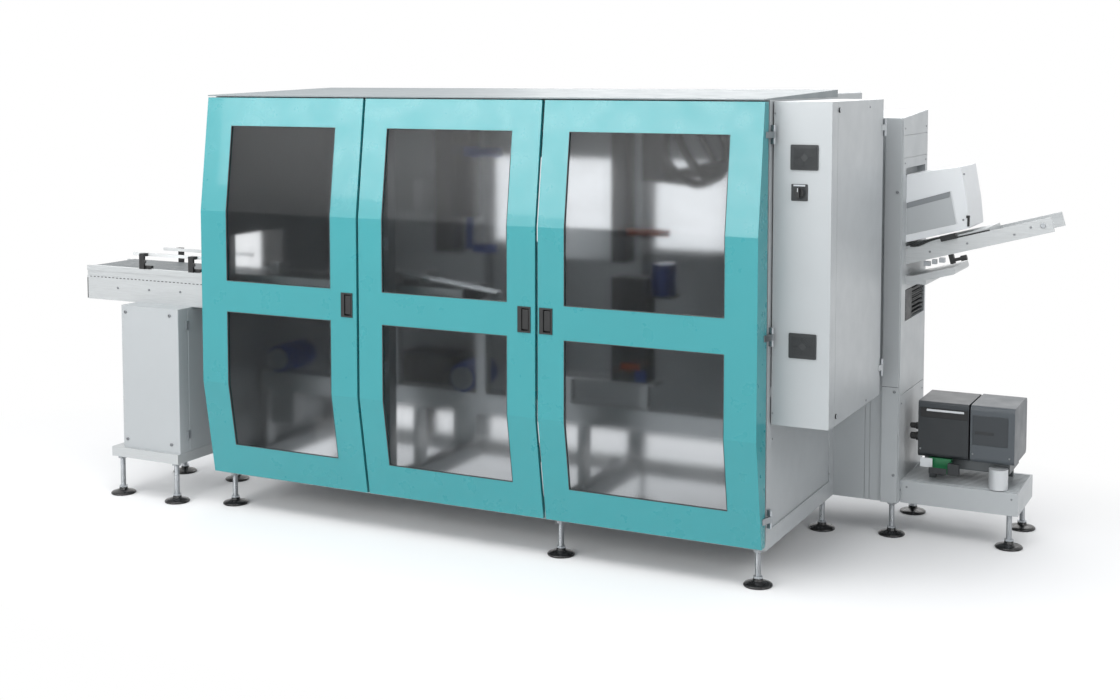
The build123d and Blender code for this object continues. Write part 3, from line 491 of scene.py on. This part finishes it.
def heights(z0, z1):
    """Heights from z1 down to z0 with the doors' bend lines among them."""
    return [z1] + [z for z, _ in LINE if z0 < z < z1] + [z0]


SEAL = plastic("window_seal", srgb(60, 66, 68), 0.5)
doors = (("left", (0.157, 0.784)), ("middle", (1.077, 1.750)), ("right", (2.037, 2.794)))
WINDOWS = ((1.183, 1.956), (0.342, 1.030))
for name, (x0, x1) in doors:
    bm = bmesh.new()
    w = 0.003
    for z0, z1 in WINDOWS:
        a, b = LEFT + x0, LEFT + x1
        strip(bm, (a, a + w), heights(z0, z1), 0.0008, 0.011)
        strip(bm, (b - w, b), heights(z0, z1), 0.0008, 0.011)
        strip(bm, (a + w, b - w), (z1, z1 - w), 0.0008, 0.011)
        strip(bm, (a + w, b - w), (z0 + w, z0), 0.0008, 0.011)
    finish_mesh(bm, f"{name}_window_seals", SEAL, f"{name}_door_body")
    lo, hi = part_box(f"{name}_door_pull")
    cx = (lo.x + hi.x) / 2
    boxes(f"{name}_pull_paddle",
          [((lo.x + 0.021, lo.y + 0.004, lo.z + 0.014), (hi.x - 0.012, lo.y + 0.009, hi.z - 0.014))],
          MAT["black_plastic"], f"{name}_door_body", 0.002)


# ---------------------------------------------------------------- infeed and pedestal

plate_lo, plate_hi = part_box("infeed_side_plates")
ped_lo, ped_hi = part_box("infeed_pedestal")
base_lo, base_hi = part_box("pedestal_base")
px0, px1, py0 = plate_lo.x, plate_hi.x, plate_lo.y

# Row of clip slots along the top of each side plate, and the bolts of the cross bars
slots = []
x = px0 + 0.02
while x < px1 - 0.03:
    slots.append(((x, py0 - 0.0006, 1.1255), (x + 0.014, py0 + 0.003, 1.1295)))
    x += 0.026
boxes("infeed_clip_slots", slots, MAT["black_plastic"], bevel=0.0006)
screws("infeed_side_screws", [(px0 + 0.215, py0, 1.075), (px0 + 0.43, py0, 1.078), (px0 + 0.64, py0, 1.08)],
       (0, -1, 0), 0.006)
boxes("infeed_end_cap", [((px0 + 0.0002, py0 - 0.0008, 1.010), (px0 + 0.006, py0 + 0.014, 1.120))],
      MAT["black_plastic"])

# Wear strips beside the belt, and the clamps that hold the guide rails
belt_lo, belt_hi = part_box("infeed_belt")
boxes("infeed_wear_strips",
      [((px0 + 0.03, belt_lo.y - 0.006, 1.170), (px1 - 0.004, belt_lo.y, 1.1885)),
       ((px0 + 0.03, belt_hi.y, 1.170), (px1 - 0.004, belt_hi.y + 0.006, 1.1885))],
      MAT["guide_plastic"])
bm = bmesh.new()
for x in (LEFT - 0.529, LEFT - 0.199):
    add_box(bm, (x - 0.004, py0 + 0.010, 1.186), (x + 0.056, py0 + 0.030, 1.204), 0.003)
    lathe(bm, [(0.0, -0.012), (0.010, -0.010), (0.012, -0.002), (0.008, 0.0)],
          (x + 0.016, py0 - 0.001, 1.226), (0, -1, 0), 20)
finish_mesh(bm, "guide_clamps", MAT["black_plastic"])

# End sensor on the front side plate, flat enough for the left door to swing past it
bm = bmesh.new()
add_box(bm, (LEFT - 0.052, py0 - 0.012, 1.046), (LEFT - 0.012, py0 + 0.001, 1.092), 0.004)
lathe(bm, [(0.011, 0.0), (0.011, 0.044), (0.009, 0.048), (0.0, 0.048)],
      (LEFT - 0.052, py0 - 0.001, 1.069), (-1, 0, 0), 28)
finish_mesh(bm, "end_roller_drive", MAT["dark_plastic"])

# Pedestal: screwed front cover and a hinged door on the right side
inset = 0.03
screws("pedestal_front_screws",
       [(ped_lo.x + inset, ped_lo.y, ped_hi.z - 0.035), (ped_hi.x - 0.055, ped_lo.y, ped_hi.z - 0.035),
        (ped_lo.x + inset, ped_lo.y, ped_lo.z + 0.045), (ped_hi.x - 0.055, ped_lo.y, ped_lo.z + 0.045)],
       (0, -1, 0), 0.009)
boxes("pedestal_door",
      [((ped_hi.x, ped_lo.y + 0.075, ped_lo.z + 0.012), (ped_hi.x + 0.002, ped_hi.y - 0.012, ped_hi.z - 0.012))],
      MAT["light_grey_paint"], bevel=0.001)
boxes("pedestal_door_hinges",
      [((ped_hi.x, ped_lo.y + 0.058, z - 0.022), (ped_hi.x + 0.007, ped_lo.y + 0.082, z + 0.022))
       for z in (ped_lo.z + 0.09, ped_hi.z - 0.09)],
      MAT["zinc_steel"], bevel=0.002)


# ---------------------------------------------------------------- electrical cabinet

cab_lo, cab_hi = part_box("electrical_cabinet")
edoor_lo, edoor_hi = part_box("electrical_door")
fil_lo, fil_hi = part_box("filter_grilles")
cab_front = cab_lo.y


def diamond_louvres(bm, cx, cz, half_w, half_h, y, depth):
    """Slats in nested diamonds over a filter, each clipped to its frame."""
    for k in range(3, 17):
        d = k * 0.0068
        for sx in (-1, 1):
            for sz in (-1, 1):
                a = (min(d, half_w), d - min(d, half_w))
                b = (d - min(d, half_h), min(d, half_h))
                if a[1] > half_h or b[0] > half_w or a[0] <= b[0]:
                    continue
                p, q = Vector((cx + sx * a[0], cz + sz * a[1])), Vector((cx + sx * b[0], cz + sz * b[1]))
                if (q - p).length < 0.004:
                    continue
                n = Vector((sx, sz)).normalized() * 0.0018
                ring = [(p - n), (p + n), (q + n), (q - n)]
                low = [bm.verts.new((v.x, y, v.y)) for v in ring]
                top = [bm.verts.new((v.x, y - depth, v.y)) for v in ring]
                for i in range(4):
                    j = (i + 1) % 4
                    bm.faces.new((low[i], low[j], top[j], top[i]))
                bm.faces.new(top)
                bm.faces.new(list(reversed(low)))


bm = bmesh.new()
fx = (fil_lo.x + fil_hi.x) / 2
for z in (cab_hi.z - 0.234, cab_lo.z + 0.350):
    diamond_louvres(bm, fx, z, 0.046, 0.040, fil_lo.y + 0.0005, 0.0022)
finish_mesh(bm, "filter_louvres", MAT["dark_plastic"])

# Blank plate above the main switch's ring
sw_lo, sw_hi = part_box("main_switch_plate")
boxes("switch_blank_plate",
      [((sw_lo.x + 0.010, sw_hi.y - 0.0056, sw_hi.z - 0.0095), (sw_hi.x - 0.010, sw_hi.y - 0.0035, sw_hi.z - 0.0025))],
      MAT["cap_plastic"], bevel=0.0008)
knob_lo, knob_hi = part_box("main_switch_knob")
kx, kz = (knob_lo.x + knob_hi.x) / 2, (knob_lo.z + knob_hi.z) / 2
boxes("switch_pointer", [((kx - 0.0015, knob_lo.y - 0.0006, kz + 0.004), (kx + 0.0015, knob_lo.y + 0.001, kz + 0.019))],
      PALE, body="main_switch_knob_body", bevel=0.0003)

# Cabinet door: folded edge, lock inserts and earth screws
screws("cabinet_side_screws",
       [(edoor_hi.x, edoor_hi.y - 0.30, edoor_hi.z - 0.030), (edoor_hi.x, edoor_hi.y - 0.30, edoor_lo.z + 0.030)],
       (1, 0, 0), 0.0055, body="electrical_door_body")
screws("cabinet_front_screws",
       [(cab_lo.x + 0.012, cab_front, z) for z in (cab_lo.z + 0.05, cab_hi.z - 0.05)], (0, -1, 0), 0.004)
lock_lo, lock_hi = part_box("electrical_door_locks")
bm = bmesh.new()
for z in (0.752, 2.059):
    lathe(bm, [(0.0095, 0.0), (0.0095, 0.002), (0.008, 0.003), (0.0045, 0.003), (0.004, 0.0005), (0.0, 0.0005)],
          (lock_hi.x - 0.0005, -0.5345, z), (1, 0, 0), 28)
finish_mesh(bm, "lock_rings", MAT["zinc_steel"], body="electrical_door_body")


# ---------------------------------------------------------------- tower, hood and magazine

post_lo, post_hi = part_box("tower_post")
tow_lo, tow_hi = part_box("tower_body")
screws("tower_post_screws", [(post_hi.x - 0.018, post_lo.y, z) for z in (1.655, 0.702, 0.30)], (0, -1, 0), 0.0075)
boxes("tower_post_seam", [((post_lo.x - 0.0005, post_lo.y - 0.0005, 0.7235), (post_hi.x + 0.0005, post_lo.y + 0.004, 0.7255))],
      HOSE, bevel=0.0003)
screws("tower_side_screws",
       [(tow_hi.x, y, z) for y in (tow_lo.y + 0.035, tow_hi.y - 0.035) for z in (1.985 - 0.03, 1.79, 0.64, 0.22)],
       (1, 0, 0), 0.0045)

hood_lo, hood_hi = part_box("magazine_hood")
hy = hood_lo.y
T = tow_hi.x
plate("hood_cover", [(T + 0.002, 1.600), (T + 0.206, 1.662), (T + 0.236, 1.509), (T + 0.002, 1.447)], hy, 0.0012,
      MAT["light_grey_paint"])
# A darker band along the cover's top edge: painted shade in the recess under the hood's upper edge
plate("hood_cover_shade_band", [(T + 0.002, 1.600), (T + 0.206, 1.662), (T + 0.204, 1.634), (T + 0.002, 1.573)],
      hy - 0.0012, 0.0006, HOOD_PAINTED_SHADE)
# A raised rim along the cover's right edge, coloured pale as a painted highlight where the edge catches light
plate("hood_cover_highlight_edge", [(T + 0.206, 1.662), (T + 0.213, 1.664), (T + 0.243, 1.511), (T + 0.236, 1.509)], hy, 0.0030,
      PALE)
screws("hood_screws", [(hood_hi.x - 0.028, hy, z) for z in (1.745, 1.530)], (0, -1, 0), 0.005)

# Latch on the hood's right edge and the stop blocks below it
bm = bmesh.new()
add_box(bm, (T + 0.288, hy - 0.004, 1.500), (T + 0.298, hy + 0.010, 1.546), 0.002)
add_box(bm, (T + 0.284, hy - 0.010, 1.540), (T + 0.300, hy + 0.004, 1.552), 0.002)
finish_mesh(bm, "hood_latch", MAT["black_plastic"])

tilt = math.radians(15.4)
run, across = Vector((math.cos(tilt), 0, math.sin(tilt))), Vector((-math.sin(tilt), 0, math.cos(tilt)))
rail_at = Vector((T, 0.3945, 1.341))


def on_rail(u, v, y):
    """A point along the magazine's rail: u along it, v across it."""
    p = rail_at + run * u + across * v
    return (p.x, y, p.z)


screws("rail_screws", [on_rail(0.60, 0.008, hy), on_rail(0.52, -0.008, hy), on_rail(0.12, 0.0, hy), on_rail(0.30, 0.0, hy)],
       (0, -1, 0), 0.0055)
bm = bmesh.new()
lathe(bm, [(0.011, 0.0), (0.011, 0.006), (0.009, 0.008), (0.0, 0.008)], on_rail(0.655, 0.004, hy), (0, -1, 0), 28)
finish_mesh(bm, "rail_stud", MAT["zinc_steel"])
hose("magazine_cable_guard", [on_rail(0.01, 0.048, hy + 0.02), on_rail(0.07, 0.042, hy + 0.01),
                              on_rail(0.14, 0.052, hy + 0.012), on_rail(0.20, 0.050, hy + 0.02)], 0.006, HOSE)
tray_lo, tray_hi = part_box("magazine_tray")
bm = bmesh.new()
for u, w in ((0.075, 0.030), (0.115, 0.022), (0.150, 0.026)):
    a = Vector(on_rail(u, -0.052, hy + 0.006))
    add_box(bm, (a.x, hy + 0.004, a.z - 0.008), (a.x + w, hy + 0.030, a.z + 0.014), 0.002)
finish_mesh(bm, "tray_adjusters", MAT["zinc_steel"])

# Fan blades of the tower's grille, the front third kept as a solid dark frame
gr_lo, gr_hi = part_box("tower_grille")
bm = bmesh.new()
for k in range(7):
    z = gr_lo.z + 0.016 + k * 0.020
    add_box(bm, (T - 0.012, gr_lo.y + 0.145, z), (T - 0.004, gr_hi.y - 0.004, z + 0.004), 0.001)
add_box(bm, (T - 0.006, gr_lo.y + 0.002, gr_lo.z + 0.002), (T + 0.001, gr_lo.y + 0.128, gr_hi.z - 0.002), 0.003)
finish_mesh(bm, "tower_fan_frame", MAT["dark_plastic"])


# ---------------------------------------------------------------- melter and platform

tank_lo, tank_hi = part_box("melter_tank")
con_lo, con_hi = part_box("melter_control")
lid_lo, lid_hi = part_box("melter_lid")
boxes("melter_front_handle",
      [((tank_lo.x + 0.040, tank_lo.y - 0.005, lid_lo.z - 0.016), (tank_hi.x - 0.022, tank_lo.y + 0.001, lid_lo.z - 0.006))],
      PALE, bevel=0.002)
boxes("melter_front_fascia",
      [((tank_lo.x + 0.012, tank_lo.y - 0.002, lid_lo.z - 0.046), (tank_hi.x - 0.006, tank_lo.y + 0.001, lid_lo.z - 0.002))],
      MAT["black_plastic"], bevel=0.0015)
boxes("melter_control_fascia",
      [((con_lo.x + 0.010, con_lo.y - 0.0022, con_lo.z + 0.085), (con_hi.x - 0.030, con_lo.y + 0.001, con_hi.z - 0.045))],
      MAT["melter_grey"], bevel=0.002)
boxes("melter_display_strip",
      [((con_lo.x + 0.022, con_lo.y - 0.0032, con_lo.z + 0.136), (con_lo.x + 0.110, con_lo.y - 0.0015, con_lo.z + 0.150))],
      MAT["dark_plastic"], bevel=0.0006)
screws("melter_screws",
       [(con_lo.x + 0.012, con_lo.y, con_lo.z + 0.040), (con_hi.x - 0.022, con_lo.y, con_lo.z + 0.034),
        (tank_lo.x + 0.012, tank_lo.y, tank_lo.z + 0.040)], (0, -1, 0), 0.0045)
bm = bmesh.new()
for z, r in ((0.520, 0.017), (0.470, 0.021)):
    lathe(bm, [(r, 0.0), (r, 0.022), (r * 0.8, 0.026), (r * 0.8, 0.048), (r * 0.5, 0.052), (0.0, 0.052)],
          (tank_lo.x + 0.001, tank_lo.y + 0.06, z), (-1, 0, 0), 28)
finish_mesh(bm, "hose_connectors", MAT["black_plastic"])
pump_lo, pump_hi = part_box("glue_pump")
boxes("pump_plate",
      [((tank_lo.x + 0.016, pump_lo.y + 0.014, tank_lo.z - 0.042), (tank_lo.x + 0.075, pump_lo.y + 0.020, tank_lo.z + 0.002))],
      PALE, bevel=0.003)
boxes("pump_cover",
      [((1.880, pump_lo.y - 0.003, 0.318), (1.964, pump_lo.y + 0.001, 0.348)),
       ((1.966, pump_lo.y + 0.004, 0.318), (2.020, pump_lo.y + 0.030, 0.372))],
      MAT["dark_plastic"], bevel=0.003)
plat_lo, plat_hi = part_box("glue_platform")
screws("platform_screws", [(x, plat_lo.y, 0.236) for x in (plat_lo.x + 0.03, plat_hi.x - 0.03)], (0, -1, 0), 0.005)


# ---------------------------------------------------------------- cabinet ends and feet

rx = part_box("right_end_panel")[1].x
screws("right_end_screws",
       [(rx, y, z) for y in (-0.600, 0.255) for z in (0.285, 0.640)], (1, 0, 0), 0.0045)
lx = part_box("left_end_panel")[0].x
screws("left_end_screws",
       [(lx, y, z) for y in (-0.600, 0.255) for z in (0.285, 0.900, 2.03)], (-1, 0, 0), 0.0045)
hs_lo, hs_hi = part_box("rear_housing")
screws("rear_housing_screws",
       [(x, hs_hi.y, z) for x in (hs_lo.x + 0.03, hs_hi.x - 0.03) for z in (0.22, 1.10, 2.06)], (0, 1, 0), 0.0045)

FEET = [(-1.456, -0.6405), (-1.456, 0.2945), (0.426, -0.6405), (0.426, 0.2945), (1.380, -0.6405), (1.380, 0.2945),
        (1.707, 0.3545), (1.707, 0.7785), (0.979, 0.7045), (-2.112, -0.7495), (-2.112, -0.2615),
        (-1.748, -0.7495), (-1.748, -0.2615), (2.252, 0.3905), (2.252, 0.7325)]
pad = [(0.0, 0.0), (0.061, 0.0), (0.064, 0.003), (0.064, 0.007), (0.060, 0.011), (0.048, 0.015), (0.034, 0.019),
       (0.026, 0.021), (0.022, 0.024), (0.021, 0.033), (0.018, 0.034), (0.0, 0.034)]
bm = bmesh.new()
for x, y in FEET:
    lathe(bm, pad, (x, y, 0.0), (0, 0, 1), 48)
pads = finish_mesh(bm, "foot_pads_turned", MAT["foot_plastic"], smooth=True)
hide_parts("foot_pads")
bm = bmesh.new()
for x, y in FEET:
    lathe(bm, [(0.0, 0.0), (0.020, 0.0), (0.0215, 0.001), (0.0215, 0.009), (0.020, 0.010), (0.0, 0.010)],
          (x, y, 0.033), (0, 0, 1), 6)
finish_mesh(bm, "foot_lock_nuts", MAT["zinc_steel"])


# ---------------------------------------------------------------- mechanism seen through the windows

# Hoses that hang round the right forming head
hx, hyy = LEFT + 2.22, FRONT + 0.56
for k, (a, b, c, d, radius) in enumerate((
        ((0.10, 2.03), (0.16, 1.86), (0.27, 1.74), (0.36, 1.80), 0.022),
        ((0.06, 2.03), (0.05, 1.84), (0.20, 1.70), (0.34, 1.76), 0.018),
        ((0.16, 2.03), (0.24, 1.90), (0.30, 1.78), (0.25, 1.71), 0.016),
        ((0.22, 2.03), (0.33, 1.92), (0.34, 1.80), (0.22, 1.75), 0.020))):
    hose(f"head_hose_{k}", [(hx + q[0], hyy + 0.02 * k, q[1]) for q in (a, b, c, d)] + [(hx, hyy + 0.04, 1.72)],
         radius, HOSE)

# Painted parts on the heads and drives
boxes("blue_cross_bar", [((LEFT + 1.205, FRONT + 0.555, 1.803), (LEFT + 1.400, FRONT + 0.600, 1.850))],
      MAT["motor_blue"], bevel=0.004)
boxes("orange_bar", [((LEFT + 2.089, FRONT + 0.565, 1.452), (LEFT + 2.300, FRONT + 0.590, 1.482)),
                     ((LEFT + 2.110, FRONT + 0.450, 0.829), (LEFT + 2.205, FRONT + 0.456, 0.860))],
      ORANGE, bevel=0.003)
boxes("blue_block", [((LEFT + 2.185, FRONT + 0.450, 0.775), (LEFT + 2.238, FRONT + 0.456, 0.832))],
      MAT["motor_blue"], bevel=0.002)
bm = bmesh.new()
add_box(bm, (LEFT + 1.225, FRONT + 0.540, 1.345), (LEFT + 1.262, FRONT + 0.562, 1.500), 0.003)
add_box(bm, (LEFT + 1.262, FRONT + 0.540, 1.330), (LEFT + 1.395, FRONT + 0.556, 1.372), 0.003)
finish_mesh(bm, "gripper_blue", MAT["motor_blue"])
bm = bmesh.new()
add_box(bm, (LEFT + 1.266, FRONT + 0.535, 1.372), (LEFT + 1.330, FRONT + 0.560, 1.460), 0.004)
add_box(bm, (LEFT + 0.897, FRONT + 0.570, 1.517), (LEFT + 1.030, FRONT + 0.640, 1.677), 0.006)
finish_mesh(bm, "gripper_white", PALE)
bm = bmesh.new()
for x, z, w in ((0.20, 1.196, 0.05), (0.60, 1.196, 0.07), (0.86, 1.196, 0.06), (1.10, 1.196, 0.05)):
    add_box(bm, (LEFT + x, FRONT + 0.30, z - 0.008), (LEFT + x + w, FRONT + 0.40, z + 0.055), 0.006)
finish_mesh(bm, "carton_pushers", MAT["stainless"])
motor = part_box("gearmotors")
bm = bmesh.new()
for x in (LEFT + 0.147, LEFT + 1.267):
    for k in range(9):
        y = FRONT + 0.468 + k * 0.020
        lathe(bm, [(0.0695, 0.0), (0.0755, 0.001), (0.0755, 0.004), (0.0695, 0.005)], (x, y, 0.717), (0, 1, 0), 40)
finish_mesh(bm, "gearmotor_fins", MAT["motor_blue"])
bm = bmesh.new()
for k in range(7):
    lathe(bm, [(0.0555, 0.0), (0.0605, 0.001), (0.0605, 0.004), (0.0555, 0.005)],
          (LEFT + 2.306, FRONT + 0.5075, 1.205 + k * 0.018), (0, 0, 1), 36)
finish_mesh(bm, "feeder_motor_fins", MAT["motor_blue"])


# ---------------------------------------------------------------- stage and light

def fade(t, start, end):
    """0 near the object, 1 far from it, over a range of distances in lengths of an oval round it."""
    length = t.nodes.new("ShaderNodeVectorMath")
    length.operation = "LENGTH"
    t.links.new(t.mapped((0.36, 0.62, 1.0)), length.inputs[0])
    return t.remap(length.outputs["Value"], 0.0, 1.0, start, end)


floor_look = Tree("floor_white")
floor_look.put("Base Color", (0.82, 0.82, 0.82, 1.0))
floor_look.put("Roughness", 0.85)
floor_look.put("Specular IOR Level", 0.1)
glow = floor_look.nodes.new("ShaderNodeEmission")
glow.inputs["Color"].default_value = (1, 1, 1, 1)
glow.inputs["Strength"].default_value = 1.0
rays = floor_look.nodes.new("ShaderNodeLightPath")
seen = floor_look.nodes.new("ShaderNodeMath")
seen.operation = "MAXIMUM"
floor_look.links.new(rays.outputs["Is Camera Ray"], seen.inputs[0])
floor_look.links.new(rays.outputs["Is Transmission Ray"], seen.inputs[1])
shown = floor_look.nodes.new("ShaderNodeMath")
shown.operation = "MAXIMUM"
floor_look.links.new(seen.outputs[0], shown.inputs[0])
floor_look.links.new(rays.outputs["Is Glossy Ray"], shown.inputs[1])
far = floor_look.nodes.new("ShaderNodeMath")
far.operation = "MULTIPLY"
floor_look.links.new(shown.outputs[0], far.inputs[0])
floor_look.links.new(fade(floor_look, 0.85, 1.5), far.inputs[1])
cover = floor_look.nodes.new("ShaderNodeMixShader")
floor_look.links.new(far.outputs[0], cover.inputs[0])
floor_look.links.new(floor_look.shader.outputs[0], cover.inputs[1])
floor_look.links.new(glow.outputs[0], cover.inputs[2])
floor_look.links.new(cover.outputs[0], floor_look.nodes["Material Output"].inputs["Surface"])

floor_mesh = bpy.data.meshes.new("floor")
floor_mesh.from_pydata([(-40, -40, 0), (40, -40, 0), (40, 40, 0), (-40, 40, 0)], [], [(0, 1, 2, 3)])
floor_mesh.materials.append(floor_look.mat)
floor = bpy.data.objects.new("floor", floor_mesh)
bpy.context.scene.collection.objects.link(floor)

world = bpy.data.worlds.new("studio")
bpy.context.scene.world = world
world.use_nodes = True
wn = world.node_tree.nodes
wl = world.node_tree.links
background = wn["Background"]
background.inputs["Strength"].default_value = 0.75
sky_coords = wn.new("ShaderNodeTexCoord")
sky_split = wn.new("ShaderNodeSeparateXYZ")
wl.new(sky_coords.outputs["Generated"], sky_split.inputs[0])
sky = wn.new("ShaderNodeValToRGB")
sky.color_ramp.elements[0].position = 0.0
sky.color_ramp.elements[0].color = (0.20, 0.21, 0.22, 1.0)
sky.color_ramp.elements[1].position = 0.22
sky.color_ramp.elements[1].color = (0.95, 0.97, 1.0, 1.0)
wl.new(sky_split.outputs["Z"], sky.inputs[0])
wl.new(sky.outputs[0], background.inputs["Color"])
white = wn.new("ShaderNodeBackground")
white.inputs["Color"].default_value = (1, 1, 1, 1)
white.inputs["Strength"].default_value = 1.0
path = wn.new("ShaderNodeLightPath")
most = wn.new("ShaderNodeMath")
most.operation = "MAXIMUM"
wl.new(path.outputs["Is Camera Ray"], most.inputs[0])
wl.new(path.outputs["Is Transmission Ray"], most.inputs[1])
every = wn.new("ShaderNodeMath")
every.operation = "MAXIMUM"
wl.new(most.outputs[0], every.inputs[0])
wl.new(path.outputs["Is Glossy Ray"], every.inputs[1])
mixed = wn.new("ShaderNodeMixShader")
wl.new(every.outputs[0], mixed.inputs[0])
wl.new(background.outputs[0], mixed.inputs[1])
wl.new(white.outputs[0], mixed.inputs[2])
wl.new(mixed.outputs[0], wn["World Output"].inputs["Surface"])


def lamp(name, place, target, size, power, color=(1, 1, 1)):
    data = bpy.data.lights.new(name, "AREA")
    data.shape = "RECTANGLE"
    data.size, data.size_y = size
    data.energy = power
    data.color = color
    obj = bpy.data.objects.new(name, data)
    obj.location = place
    obj.rotation_euler = (Vector(target) - Vector(place)).to_track_quat("-Z", "Y").to_euler()
    bpy.context.scene.collection.objects.link(obj)


lamp("overhead", (0.0, -2.6, 5.6), (0, -0.4, 0.4), (6.5, 3.5), 200)
lamp("front_left", (-2.6, -7.6, 3.7), (-0.1, -0.8, 1.7), (7.5, 2.2), 330)
lamp("right_side", (6.5, -2.5, 4.6), (1.6, 0.2, 1.2), (3.0, 2.5), 75)
lamp("rear", (0.0, 5.0, 4.0), (0, 0.5, 1.0), (6.0, 3.0), 110)

bpy.context.scene.view_settings.view_transform = "Standard"
